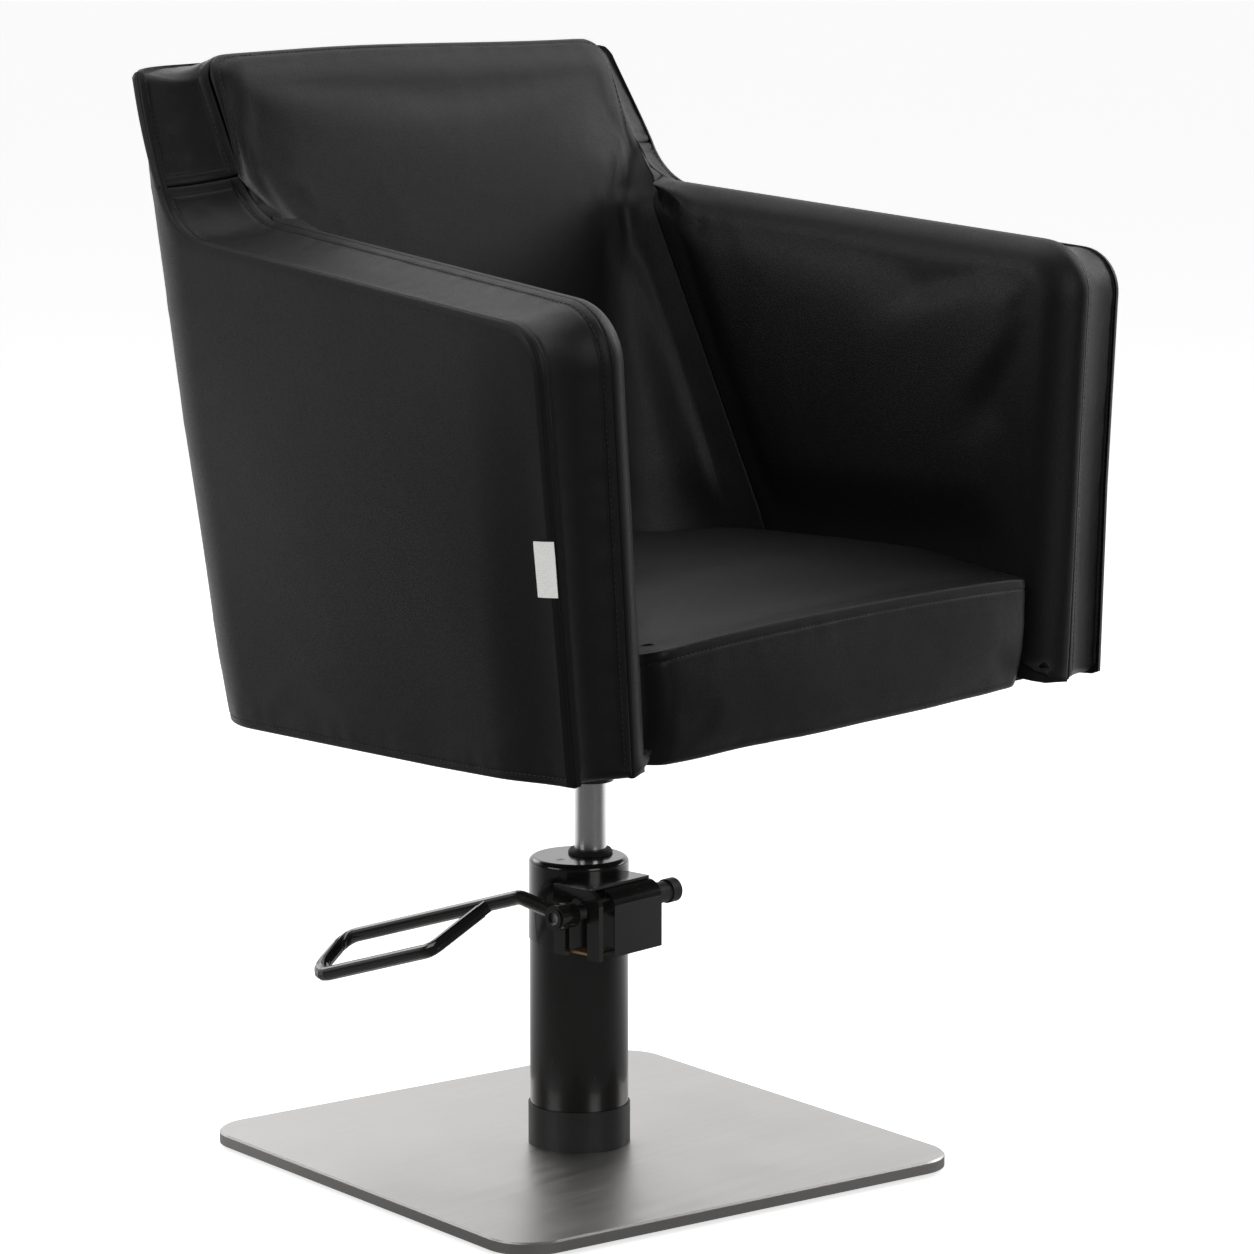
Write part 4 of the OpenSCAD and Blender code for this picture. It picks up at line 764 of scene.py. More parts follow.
def make_ply_layers():
    """Layers and grain of plywood."""
    tree, ins, outs = group_tree("ply_layers", [
        ("Coordinates", "NodeSocketVector", None), ("Layer", "NodeSocketFloat", 0.0015)],
        ("Layers", "Grain"))
    split = put(tree, "ShaderNodeSeparateXYZ", {0: ins.outputs["Coordinates"]})
    wave = sums(tree, "SINE", sums(tree, "MULTIPLY", split.outputs[2],
                                   sums(tree, "DIVIDE", math.pi, ins.outputs["Layer"])))
    fibres = scaled(tree, ins.outputs["Coordinates"], (20.0, 320.0, 320.0))
    grain = noise_at(tree, fibres, 1.0, 5.0, Distortion=0.6)
    tree.links.new(ramp(tree, wave, -0.3, 0.3), outs.inputs["Layers"])
    tree.links.new(ramp(tree, grain.outputs["Fac"], 0.3, 0.7), outs.inputs["Grain"])
    return tree


group_makers = {
    "leather_grain": make_leather_grain,
    "brushed_lines": make_brushed_lines,
    "handling_marks": make_handling_marks,
    "coat_peel": make_coat_peel,
    "plain_weave": make_plain_weave,
    "ply_layers": make_ply_layers,
}


def effect(tree, name, values):
    group = bpy.data.node_groups.get(name) or group_makers[name]()
    node = tree.nodes.new("ShaderNodeGroup")
    node.node_tree = group
    return feed(tree, node, values)


def blank_material(name):
    mat = bpy.data.materials.new(name)
    mat.use_nodes = True
    tree = mat.node_tree
    shader = tree.nodes["Principled BSDF"]
    where = tree.nodes.new("ShaderNodeTexCoord").outputs["Object"]
    return mat, tree, shader, where


def colour_mix(tree, factor, a, b):
    return put(tree, "ShaderNodeMix", {0: factor, 6: a, 7: b}, data_type="RGBA").outputs[2]


def full(color):
    return (color[0], color[1], color[2], 1.0)


def shade(color, k):
    return (color[0] * k, color[1] * k, color[2] * k, 1.0)


def surface(tree, shader, base, rough, height, strength, distance):
    """Give a shader its colour, its roughness and its bumps."""
    node = put(tree, "ShaderNodeBump", {"Height": height, "Strength": strength, "Distance": distance})
    feed(tree, shader, {"Base Color": base, "Roughness": rough, "Normal": node.outputs["Normal"]})


def leather_material(name, looks):
    mat, tree, shader, where = blank_material(name)
    grain = effect(tree, "leather_grain", {"Coordinates": where, "Pebble size": looks.pebble_size,
                                           "Patchiness": 0.6})
    marks = effect(tree, "handling_marks", {"Coordinates": where, "Size": 0.11})
    base = colour_mix(tree, grain.outputs["Valley"], full(looks.leather_color),
                      shade(looks.leather_color, 0.45))
    toned = colour_mix(tree, grain.outputs["Patches"], base, shade(looks.leather_color, 1.25))
    rough = add_share(tree, looks.leather_roughness, grain.outputs["Valley"], 0.16)
    rough = add_share(tree, rough, grain.outputs["Patches"], 0.07)
    rough = add_share(tree, rough, marks.outputs["Smudges"], -0.05, True)
    shader.inputs["Specular IOR Level"].default_value = looks.leather_gloss
    surface(tree, shader, toned, rough, grain.outputs["Height"], 0.32, 0.00022)
    return mat


def thread_material(name, looks):
    mat, tree, shader, where = blank_material(name)
    weave = effect(tree, "plain_weave", {"Coordinates": where, "Thread": 0.0003})
    base = colour_mix(tree, weave.outputs["Gaps"], full(looks.thread_color), shade(looks.thread_color, 0.4))
    rough = ramp(tree, weave.outputs["Fuzz"], 0.2, 0.8, 0.5, 0.75)
    shader.inputs["Sheen Weight"].default_value = 0.15
    surface(tree, shader, base, rough, weave.outputs["Height"], 0.5, 0.0001)
    return mat


def brushed_material(name, color, roughness, stretch, lines, depth):
    mat, tree, shader, where = blank_material(name)
    brushed = effect(tree, "brushed_lines", {"Coordinates": where, "Stretch": stretch})
    marks = effect(tree, "handling_marks", {"Coordinates": where, "Size": 0.09})
    base = colour_mix(tree, brushed.outputs["Streaks"], shade(color, 0.86), full(color))
    base = colour_mix(tree, sums(tree, "MULTIPLY", marks.outputs["Dust"], 0.25), base, (0.5, 0.49, 0.47, 1))
    rough = add_share(tree, roughness, brushed.outputs["Streaks"], lines)
    rough = add_share(tree, rough, brushed.outputs["Bands"], 0.04)
    rough = add_share(tree, rough, marks.outputs["Smudges"], 0.05, True)
    shader.inputs["Metallic"].default_value = 1.0
    surface(tree, shader, base, rough, brushed.outputs["Height"], 0.25, depth)
    return mat


def coated_material(name, color, roughness, peel, coat, size=0.0025):
    mat, tree, shader, where = blank_material(name)
    waves = effect(tree, "coat_peel", {"Coordinates": where, "Size": size})
    marks = effect(tree, "handling_marks", {"Coordinates": where, "Size": 0.06})
    base = colour_mix(tree, waves.outputs["Tone"], full(color), shade(color, 1.5))
    base = colour_mix(tree, sums(tree, "MULTIPLY", marks.outputs["Dust"], 0.12), base, (0.2, 0.19, 0.18, 1))
    rough = add_share(tree, roughness, marks.outputs["Smudges"], 0.08)
    rough = add_share(tree, rough, marks.outputs["Scuffs"], 0.12, True)
    shader.inputs["Coat Weight"].default_value = coat
    shader.inputs["Coat Roughness"].default_value = 0.06
    surface(tree, shader, base, rough, waves.outputs["Height"], peel, 0.00015)
    return mat


def cloth_material(name, color, thread):
    mat, tree, shader, where = blank_material(name)
    weave = effect(tree, "plain_weave", {"Coordinates": where, "Thread": thread})
    base = colour_mix(tree, weave.outputs["Gaps"], full(color), shade(color, 0.6))
    base = colour_mix(tree, ramp(tree, weave.outputs["Fuzz"], 0.45, 0.8, 0.0, 0.4), base, shade(color, 0.85))
    rough = ramp(tree, weave.outputs["Fuzz"], 0.2, 0.8, 0.75, 0.95)
    shader.inputs["Sheen Weight"].default_value = 0.1
    surface(tree, shader, base, rough, weave.outputs["Height"], 0.5, thread * 0.4)
    return mat


def ply_material(name, color):
    mat, tree, shader, where = blank_material(name)
    ply = effect(tree, "ply_layers", {"Coordinates": where, "Layer": 0.0015})
    marks = effect(tree, "handling_marks", {"Coordinates": where, "Size": 0.08})
    base = colour_mix(tree, ply.outputs["Grain"], shade(color, 0.72), full(color))
    base = colour_mix(tree, sums(tree, "MULTIPLY", ply.outputs["Layers"], 0.35), base, shade(color, 0.55))
    rough = ramp(tree, marks.outputs["Smudges"], 0.0, 1.0, 0.55, 0.75)
    surface(tree, shader, base, rough, ply.outputs["Grain"], 0.3, 0.0002)
    return mat


# Settings that a user of the add-on may change

class ChairUpholsterySettings(bpy.types.PropertyGroup):
    """Sizes and colours of the leather work."""
    seam_depth: bpy.props.FloatProperty(
        name="Seam depth", description="How deep the leather rolls into a seam",
        default=0.0022, min=0.001, max=0.008, precision=4, subtype="DISTANCE", unit="LENGTH")
    stitch_offset: bpy.props.FloatProperty(
        name="Topstitch distance", description="Distance of the topstitching from its seam",
        default=0.0086, min=0.004, max=0.014, precision=4, subtype="DISTANCE", unit="LENGTH")
    stitch_pitch: bpy.props.FloatProperty(
        name="Stitch pitch", description="Distance between the starts of two stitches",
        default=0.0047, min=0.003, max=0.008, precision=4, subtype="DISTANCE", unit="LENGTH")
    stitch_length: bpy.props.FloatProperty(
        name="Stitch length", description="Length of the thread that shows in one stitch",
        default=0.0034, min=0.002, max=0.006, precision=4, subtype="DISTANCE", unit="LENGTH")
    thread_width: bpy.props.FloatProperty(
        name="Thread width", description="Width of the sewing thread",
        default=0.0006, min=0.0003, max=0.0015, precision=4, subtype="DISTANCE", unit="LENGTH")
    wrinkle_height: bpy.props.FloatProperty(
        name="Wrinkle height", description="Height of the soft wrinkles in the leather",
        default=0.0009, min=0.0, max=0.004, precision=4, subtype="DISTANCE", unit="LENGTH")
    swell_limit: bpy.props.FloatProperty(
        name="Swell limit", description="The most that the padding may push the leather out",
        default=0.006, min=0.0, max=0.016, precision=4, subtype="DISTANCE", unit="LENGTH")
    pressure: bpy.props.FloatProperty(
        name="Padding pressure", description="Pressure of the padding under the leather",
        default=4.0, min=0.0, max=12.0)
    leather_color: bpy.props.FloatVectorProperty(
        name="Leather colour", description="Colour of the leatherette",
        default=(0.0034, 0.0032, 0.0034), min=0.0, max=1.0, size=3, subtype="COLOR")
    leather_roughness: bpy.props.FloatProperty(
        name="Leather roughness", description="Roughness of the leatherette between its pores",
        default=0.38, min=0.0, max=1.0, subtype="FACTOR")
    leather_gloss: bpy.props.FloatProperty(
        name="Leather gloss", description="Strength of the leatherette's reflection",
        default=0.3, min=0.0, max=1.0, subtype="FACTOR")
    pebble_size: bpy.props.FloatProperty(
        name="Pebble size", description="Size of one pebble of the grain",
        default=0.0013, min=0.0005, max=0.004, precision=4, subtype="DISTANCE", unit="LENGTH")
    thread_color: bpy.props.FloatVectorProperty(
        name="Thread colour", description="Colour of the sewing thread",
        default=(0.008, 0.008, 0.0085), min=0.0, max=1.0, size=3, subtype="COLOR")
    tag_color: bpy.props.FloatVectorProperty(
        name="Tag colour", description="Colour of the blank woven tag",
        default=(0.86, 0.86, 0.84), min=0.0, max=1.0, size=3, subtype="COLOR")


class ChairMetalSettings(bpy.types.PropertyGroup):
    """Colours of the stand's metal and plastic."""
    plate_color: bpy.props.FloatVectorProperty(
        name="Plate colour", description="Colour of the brushed base plate",
        default=(0.60, 0.585, 0.575), min=0.0, max=1.0, size=3, subtype="COLOR")
    plate_roughness: bpy.props.FloatProperty(
        name="Plate roughness", description="Roughness of the brushed base plate",
        default=0.3, min=0.0, max=1.0, subtype="FACTOR")
    chrome_color: bpy.props.FloatVectorProperty(
        name="Chrome colour", description="Colour of the lift rod",
        default=(0.80, 0.80, 0.81), min=0.0, max=1.0, size=3, subtype="COLOR")
    coat_color: bpy.props.FloatVectorProperty(
        name="Coat colour", description="Colour of the gloss black coat",
        default=(0.006, 0.0055, 0.005), min=0.0, max=1.0, size=3, subtype="COLOR")


class ChairStageSettings(bpy.types.PropertyGroup):
    """The floor, the lamps and the camera."""
    camera_place: bpy.props.FloatVectorProperty(
        name="Camera place", description="Where the camera stands",
        default=(-3.2601, -2.9769, 1.2214), size=3, subtype="TRANSLATION", unit="LENGTH")
    camera_turn: bpy.props.FloatVectorProperty(
        name="Camera turn", description="The camera's rotation",
        default=(math.radians(80), 0.0, math.radians(-47.99)), size=3, subtype="EULER", unit="ROTATION")
    camera_lens: bpy.props.FloatProperty(
        name="Camera lens", description="Focal length in millimetres", default=157.9, min=10.0, max=400.0)
    key_power: bpy.props.FloatProperty(
        name="Lamp power", description="Power of the large soft lamps", default=34.0, min=0.0, max=500.0)
    floor_color: bpy.props.FloatVectorProperty(
        name="Floor colour", description="Colour of the pale floor",
        default=(0.82, 0.82, 0.82), min=0.0, max=1.0, size=3, subtype="COLOR")


# The seams that a piece meets, on the right side

def chair_seams():
    depth = bpy.context.scene.chair_upholstery.seam_depth / MM
    stitch = bpy.context.scene.chair_upholstery.stitch_offset / MM
    rear = [skin_point(side_turn_s, mix(floor_at(back_rear), top_outer_z, s), 0) for s in steps(40)]
    across = steps(24)
    low = low_edge()
    step = len(arm_inner_3d) - 1
    return {
        "arm_inner": Seam(arm_inner_3d, depth, stitch),
        "arm_outer": Seam(arm_outer_3d, depth, stitch),
        "cross": Seam(strip_row(arm_inner_3d, arm_outer_3d, step, across), depth, stitch, 1.6),
        "back_inner": Seam(border_half_inner, depth, stitch),
        "back_outer": Seam(border_half_outer, depth, stitch),
        "rear_corner": Seam(rear, depth * 0.8, stitch),
        "front_fold": Seam(strip_row(arm_inner_3d, arm_outer_3d, 0, across), depth * front_roll, 0),
        "low_fold": Seam([skin_point(p[0], p[1], 0) for p in low], hem_depth, hem_stitch),
        "cushion_front": Seam(cushion_front_line(), 1.3, 8.2, 0.6, 0.5, Vector((0, -0.4, -1))),
    }


front_roll = 3.4
hem_depth = 3.2
rear_hem_depth = 5.5
hem_stitch = 7.0
hem_turn = 2.2
hem_y = -120.0


def low_edge():
    """The lower edge of a side panel, from the rear corner's seam to the front."""
    near_corner = back_rear * 0.8
    return resample([Vector((side_turn_s, floor_at(back_rear))), Vector((near_corner, floor_at(near_corner))),
                     Vector((hem_y, floor_at(hem_y) - hem_turn)),
                     Vector((front_y, floor_z + 1 - hem_turn))], 6)


def skin_point(s, z, crown):
    a = outer_point(s - 1, z)
    b = outer_point(s + 1, z)
    along = (b - a).normalized()
    return outer_point(s, z) + Vector((along[1], -along[0], 0)) * crown


def side_seams(seams, names, side, plain=()):
    """Some of the seams, on one side of the chair. Those in plain aren't topstitched on this piece."""
    chosen = [seams[n].plain() if n in plain else seams[n] for n in names]
    return chosen if side > 0 else [s.flipped() for s in chosen]


# The border strips

strip_pitch = 4.5


def strip_row(inner, outer, i, shares):
    """One row of points across a strip, crowned between its two seams."""
    a, b = max(0, i - 1), min(len(inner) - 1, i + 1)
    along = (inner[b] + outer[b] - inner[a] - outer[a]).normalized()
    out = along.cross((outer[i] - inner[i]).normalized()).normalized()
    return [mix(inner[i], outer[i], s) + out * border_crown * 4 * s * (1 - s) for s in shares]


def strip_sheet(inner, outer, side):
    """Points across a strip between two seams."""
    n = len(inner)
    width = sum((b - a).length for a, b in zip(inner, outer)) / n
    half = [d / width for d in seam_rows] + [0.3, 0.38, 0.46]
    shares = half + [0.5] + [1 - s for s in reversed(half)]
    points = [p for i in range(n) for p in strip_row(inner, outer, i, shares)]
    return [p if side > 0 else flip(p) for p in points], grid_faces(n, len(shares))


def shell_middle(p):
    """Direction away from the middle of the shell's walls, for the border strips."""
    side = 1 if p[0] > 0 else -1
    up = Vector((0, -1, 0)) if p[1] < -250 else Vector((0, 0, 1))
    return up + Vector((0.2 * side, 0, 0))


def stations(whole, pitch, sewn_end):
    """Distances along a strip: close together where it ends in a seam, and a pitch apart between."""
    tail = [whole - d for d in reversed(seam_rows)] if sewn_end else [whole]
    n = max(2, round((tail[0] - seam_rows[-1]) / pitch))
    return seam_rows + [mix(seam_rows[-1], tail[0], i / n) for i in range(1, n)] + tail


def even_pair(inner, outer, pitch, sewn_end=True):
    """Both seams of a strip at its stations, matched as the CAD part matches them."""
    run = [0.0]
    for (a, b), (c, d) in zip(zip(inner, outer), zip(inner[1:], outer[1:])):
        run.append(run[-1] + ((c + d) / 2 - (a + b) / 2).length)
    pairs_in = list(zip(run, inner))
    pairs_out = list(zip(run, outer))
    wants = stations(run[-1], pitch, sewn_end)
    return [lookup(w, pairs_in) for w in wants], [lookup(w, pairs_out) for w in wants]


def dress(obj, mat, nodes):
    obj.data.materials.append(mat)
    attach(obj, "seat")
    if nodes:
        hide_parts(*nodes)


def leather():
    looks = bpy.context.scene.chair_upholstery
    return bpy.data.materials.get("black_leatherette") or leather_material("black_leatherette", looks)


def wrinkle():
    return bpy.context.scene.chair_upholstery.wrinkle_height / MM


class ChairArmBorders(bpy.types.Operator):
    """Sew the padded strips along the tops and fronts of both arms"""
    bl_idname = "chair.arm_borders"
    bl_label = "Arm borders"

    def execute(self, context):
        seams = chair_seams()
        ins, outs = even_pair(arm_inner_3d, arm_outer_3d, strip_pitch)
        for name, side in (("arm_border_right", 1), ("arm_border_left", -1)):
            points, faces = strip_sheet(ins, outs, side)
            high = wrinkle()

            def relief(p):
                near_step = ease(p[1], 90, 160)
                corner = math.exp(-(((p[1] + 270) / 40) ** 2 + ((p[2] - 735) / 40) ** 2))
                return (creases(p, 30, high, (1, 1, 1), 3.1) * (0.2 + 0.9 * near_step + 0.5 * corner)
                        + creases(p, 13, high, (1, 0.6, 1), 5.3) * 0.5 * near_step
                        + 0.5 * noise.noise(Vector(p) / 70))

            used = side_seams(seams, ("arm_inner", "arm_outer", "cross", "front_fold"), side)
            piece = sheet("upholstered_" + name, points, faces, shell_middle, used, 7, relief)
            dress(piece, leather(), [name])
        return {"FINISHED"}


class ChairBackBorder(bpy.types.Operator):
    """Sew the padded strip up the steps and over the back"""
    bl_idname = "chair.back_border"
    bl_label = "Back border"

    def execute(self, context):
        seams = chair_seams()
        ins, outs = even_pair(border_half_inner, border_half_outer, strip_pitch, False)
        ins = ins + [flip(p) for p in reversed(ins[:-1])]
        outs = outs + [flip(p) for p in reversed(outs[:-1])]
        points, faces = strip_sheet(ins, outs, 1)
        high = wrinkle()

        def relief(p):
            step = 1 - ease(p[2], 850, 905)
            return (creases(p, 30, high, (1, 1, 0.8), 7.7) * (0.3 + 0.9 * step)
                    + creases(p, 15, high, (0.7, 0.7, 1.1), 8.9) * (0.12 + 0.75 * step)
                    + 0.6 * noise.noise(Vector(p) / 60))

        names = ("back_inner", "back_outer", "cross")
        used = side_seams(seams, names, 1) + side_seams(seams, names, -1)
        piece = sheet("upholstered_back_border", points, faces, shell_middle, used, 7, relief)
        dress(piece, leather(), ["back_border"])
        return {"FINISHED"}


# The inner pads

def arc_reach(a):
    """Reach inwards of a round pad edge at a length along it."""
    return lip * (1 - math.cos(min(a, lip * math.pi / 2) / lip))


pad_rows = seam_rows + [18, 22.5, 27.5, 33, 38.5, 43, 47.2]
hidden_z, free_z = 505, 560
pad_corner_depth = 1.5


class ChairArmPads(bpy.types.Operator):
    """Pad the inner faces of both arms"""
    bl_idname = "chair.arm_pads"
    bl_label = "Arm pads"

    def execute(self, context):
        seams = chair_seams()
        path = [p for p in arm_inner if not (p[0] > junction_y)]
        path = resample([Vector((p[0], p[1])) for p in path] + [Vector((junction_y, junction_z))], 5)
        heights = (junction_z, 760, 700, 640, 580, 520, 460, board_top)
        rear = resample([Vector((pad_end(z), z)) for z in heights], 8)
        low = resample([Vector((pad_end(board_top), board_top)), Vector((front_y + 40, board_top - 6)),
                        Vector((front_y, floor_z))], 8)
        outline = path[:-1] + rear[:-1] + low[:-1]
        kinds = ["seam"] * (len(path) - 1) + ["rear"] * (len(rear) - 1) + ["low"] * (len(low) - 1)
        reaches = [[arc_reach(a) if k == "seam" else a * 0.42 for a in pad_rows] for k in kinds]
        flat, faces = ring_sheet(outline, reaches, len(pad_rows), 8)
        line = SeamField([Seam([Vector((0, p[0], p[1])) for p in path])])
        n = len(outline)
        points = []
        for i, p in enumerate(flat):
            d = line.near(Vector((0, p[0], p[1])))[0]
            ring, place = divmod(i, n)
            if i < n * len(pad_rows) and kinds[place] == "seam" and kinds[place - 1] == "seam":
                d = arc_reach(pad_rows[ring])
            points.append(Vector((seam_x(p[0], p[1]) - pad_t * edge_rise(d), p[0], p[1])))
        back_line = [Vector((seam_x(p[0], p[1]) - pad_t * edge_rise(junction_z - p[1]), p[0], p[1]))
                     for p in rear]
        corner = Seam(back_line, pad_corner_depth, 0)
        high = wrinkle()

        def relief(p):
            to_corner = ease(p[1], -60, 60)
            return (creases(p, 46, high, (1, 1.3, 0.5), 11.3) * (0.2 + 0.7 * to_corner)
                    + gathers(p, high) + 0.9 * noise.noise(Vector(p) / 110))

        def inward(p):
            return Vector((-1 if p[0] > 0 else 1, 0, 0))

        used = [seams["arm_inner"].plain(), corner]
        swell = swollen("arm_pad", points, faces, inward, used)
        for name, side in (("arm_pad_right", 1), ("arm_pad_left", -1)):
            pts = points if side > 0 else [flip(p) for p in points]
            here = used if side > 0 else [s.flipped() for s in used]
            pull = None
            if swell:
                def pull(p, n, side=side):
                    free = ease(p[2], hidden_z, free_z)
                    return free * swell(p if side > 0 else flip(p), n if side > 0 else flip(n))
            piece = sheet("upholstered_" + name, pts, faces, inward, here, 9, relief, pull)
            dress(piece, leather(), [name])
        return {"FINISHED"}


def gathers(p, high):
    """Fine wrinkles where the arm pad, the back pad and the borders meet."""
    spot = Vector((abs(p[0]), p[1], p[2]))
    near = math.exp(-((spot - gather_place).length / 62) ** 2)
    return near * creases(p, 19, high * 2.1, (1, 1, 0.75), 61.7)


block_depth = 26.0
net_size = 0.006
sewn_from, sewn_to = 5.0, 16.0
frames = 20
nearest = 6


def swollen(name, points, faces, outward, seams):
    """How far padding pushes a sheet of leather out, from a cloth simulation of a block sewn at its seams."""
    looks = bpy.context.scene.chair_upholstery
    block = sheet("swelling_" + name, points, faces, outward, [], block_depth)
    even = block.modifiers.new("even_net", "REMESH")
    even.mode = "VOXEL"
    even.voxel_size = net_size
    rest = evaluated_mesh(block)
    net = add_object("net_" + name, rest)
    field = SeamField(seams)
    front = kd_tree([settle(p) for p in points])
    sewn = net.vertex_groups.new(name="sewn")
    for v in rest.vertices:
        p = v.co / MM
        behind = front.find(p)[2] > block_depth * 0.45
        weight = 1.0 if behind else 1 - ease(field.near(p)[0], sewn_from, sewn_to)
        if weight > 0.001:
            sewn.add([v.index], weight, "REPLACE")
    cloth = net.modifiers.new("leather", "CLOTH")
    made = cloth.settings
    made.quality = 6
    made.mass = 0.35
    made.tension_stiffness = made.compression_stiffness = 22
    made.shear_stiffness = 8
    made.bending_stiffness = 3
    made.use_pressure = True
    made.uniform_pressure_force = looks.pressure
    made.effector_weights.gravity = 0
    made.vertex_group_mass = "sewn"
    scene = bpy.context.scene
    for step in range(1, frames + 1):
        scene.frame_set(step)
    blown = evaluated_mesh(net)
    tree = kd_tree([v.co / MM for v in rest.vertices])
    moves = [(w.co - v.co) / MM for v, w in zip(rest.vertices, blown.vertices)]
    scene.frame_set(1)
    for obj in (net, block):
        bpy.data.objects.remove(obj)
    most = looks.swell_limit / MM
    print(name, "padding moves the leather by up to", round(max(m.length for m in moves), 1), "mm")

    def pull(p, n):
        total, share = 0.0, 0.0
        for _, i, d in tree.find_n(p, nearest):
            k = 1 / (d + 1.5) ** 2
            total += moves[i].dot(n) * k
            share += k
        return most * math.tanh(max(0.0, total / share) / most)

    return pull


def evaluated_mesh(obj):
    """A plain mesh of an object as its modifiers make it."""
    graph = bpy.context.evaluated_depsgraph_get()
    graph.update()
    return bpy.data.meshes.new_from_object(obj.evaluated_get(graph))


def back_pad_half(z, shares):
    r = tub_at(z)
    cx, cy = tub_centre(z)
    up = ease(z, junction_z - lip, junction_z + lip)
    step_x, step_y = lookup(z, step_x_by_z), lookup(z, step_y_by_z)
    if z < junction_z:
        y = pad_end(z)
        edge = Vector((seam_x(y, z) - pad_t * edge_rise(junction_z - z), y, z))
    else:
        edge = Vector((step_x, step_y, z))
    rise = (1 - edge_rise(back_top_z - z)) * (seam_step_top_y - face_y(back_top_z))
    y1 = face_y(z) + rise
    row = [edge]
    for a in shares[1:]:
        t = mix(plan_taper, 90, a)
        low = Vector((cx + r * cosd(t), cy + r * sind(t) + rise, z))
        high = Vector((step_x - lip * (1 - cosd(90 * a)), mix(step_y, y1, sind(90 * a)), z))
        if z < junction_z:
            close = edge_rise(junction_z - z)
            low = mix(Vector((mix(edge[0], low[0], a ** 0.5), low[1], z)), low, close)
        row.append(mix(low, high, up))
    flat_x = row[-1][0]
    n = 26
    return row + [Vector((flat_x * (1 - i / n), y1, z)) for i in range(1, n + 1)]


class ChairBackPad(bpy.types.Operator):
    """Pad the inside of the back and its two round corners"""
    bl_idname = "chair.back_pad"
    bl_label = "Back pad"

    def execute(self, context):
        seams = chair_seams()
        quarter = lip * math.pi / 2
        shares = [a / quarter for a in seam_rows] + [0.37, 0.44, 0.51, 0.58, 0.65, 0.72, 0.79, 0.86, 0.93, 1]
        tops = [back_top_z - arc_reach(a) for a in seam_rows + [18, 22, 27, 32, 37, 42, 47.1]]
        low_z = board_top + 1
        last = tops[-1]
        rows = [mix(low_z, last, i / 66) for i in range(66)] + list(reversed(tops))
        points = []
        for z in rows:
            half = back_pad_half(z, shares)
            points += half + [flip(p) for p in reversed(half[:-1])]
        m = 2 * (len(shares) + 26) - 1
        faces = grid_faces(len(rows), m)
        rear = [z for z in rows if z < junction_z]
        edge = [back_pad_half(z, shares)[0] for z in rear]
        corner = Seam(edge, pad_corner_depth, 0)
        arm_end = Seam([p for p in arm_inner_3d if p[1] > junction_y], seams["arm_inner"].depth, 8.6)
        inner = seams["back_inner"]
        used = [inner, inner.flipped(), corner, corner.flipped(), arm_end, arm_end.flipped()]
        high = wrinkle()

        def relief(p):
            corner_part = ease(abs(p[0]), 130, 220) * (1 - ease(p[2], 800, 870))
            return (creases(p, 52, high, (0.7, 1, 0.6), 23.9) * (0.15 + 0.8 * corner_part)
                    + gathers(p, high) + 1.0 * noise.noise(Vector(p) / 130))

        def forward(p):
            return Vector((0, -1, 0))

        swell = swollen("back_pad", points, faces, forward, used)
        pull = (lambda p, n: ease(p[2], hidden_z, free_z) * swell(p, n)) if swell else None
        piece = sheet("upholstered_back_pad", points, faces, forward, used, 9, relief, pull)
        dress(piece, leather(), ["back_pad"])
        return {"FINISHED"}


# The outer panels

side_turn_s = outer_turn_s(seam_split, top_outer_z)
panel_middle_z = 650


class ChairSidePanels(bpy.types.Operator):
    """Cover the outside of both arms, up to the seam behind each rear corner"""
    bl_idname = "chair.side_panels"
    bl_label = "Side panels"

    def execute(self, context):
        seams = chair_seams()
        top = [Vector((p[0], p[1])) for p in arm_outer]
        top += [mix(step_outer_start, step_outer_end, i / 12) for i in range(1, 13)]
        top.append(Vector((mix(step_outer_end[0], side_turn_s, 0.5), top_outer_z - 1.5)))
        top.append(Vector((side_turn_s, top_outer_z)))
        top = resample(top, 5)
        rear = resample([Vector((side_turn_s, top_outer_z)), Vector((side_turn_s, floor_at(back_rear)))], 6)
        low = low_edge()
        outline = top[:-1] + rear[:-1] + low[:-1]
        reaches = [seam_rows] * len(outline)
        flat, faces = ring_sheet(outline, reaches, len(seam_rows), 8)
        first, last = front_y + border_set, side_turn_s
        points = []
        for p in flat:
            top_here = lookup(p[0], [(q[0], q[1]) for q in top])
            low_here = floor_at(keep(p[0], front_y, back_rear))
            h = keep((p[1] - low_here) / max(1, top_here - low_here), 0, 1)
            crown = skin_crown * sind(180 * keep((p[0] - first) / (last - first), 0, 1)) * sind(180 * h)
            points.append(skin_point(p[0], p[1], crown))
        high = wrinkle()

        def relief(p):
            corner = ease(p[1], 120, 220)
            low_part = 1 - ease(p[2], 410, 470)
            return (creases(p, 60, high, (1, 0.6, 1), 31.7) * (0.1 + 0.5 * corner + 0.5 * low_part)
                    + 1.2 * noise.noise(Vector(p) / 150))

        def outward(p):
            return Vector((1 if p[0] > 0 else -1, 0.3, 0))

        for name, side in (("side_panel_right", 1), ("side_panel_left", -1)):
            used = side_seams(seams, ("arm_outer", "back_outer", "rear_corner", "low_fold"), side,
                              ("arm_outer", "back_outer"))
            pts = points if side > 0 else [flip(p) for p in points]
            piece = sheet("upholstered_" + name, pts, faces, outward, used, 6, relief)
            dress(piece, leather(), [name])
        return {"FINISHED"}


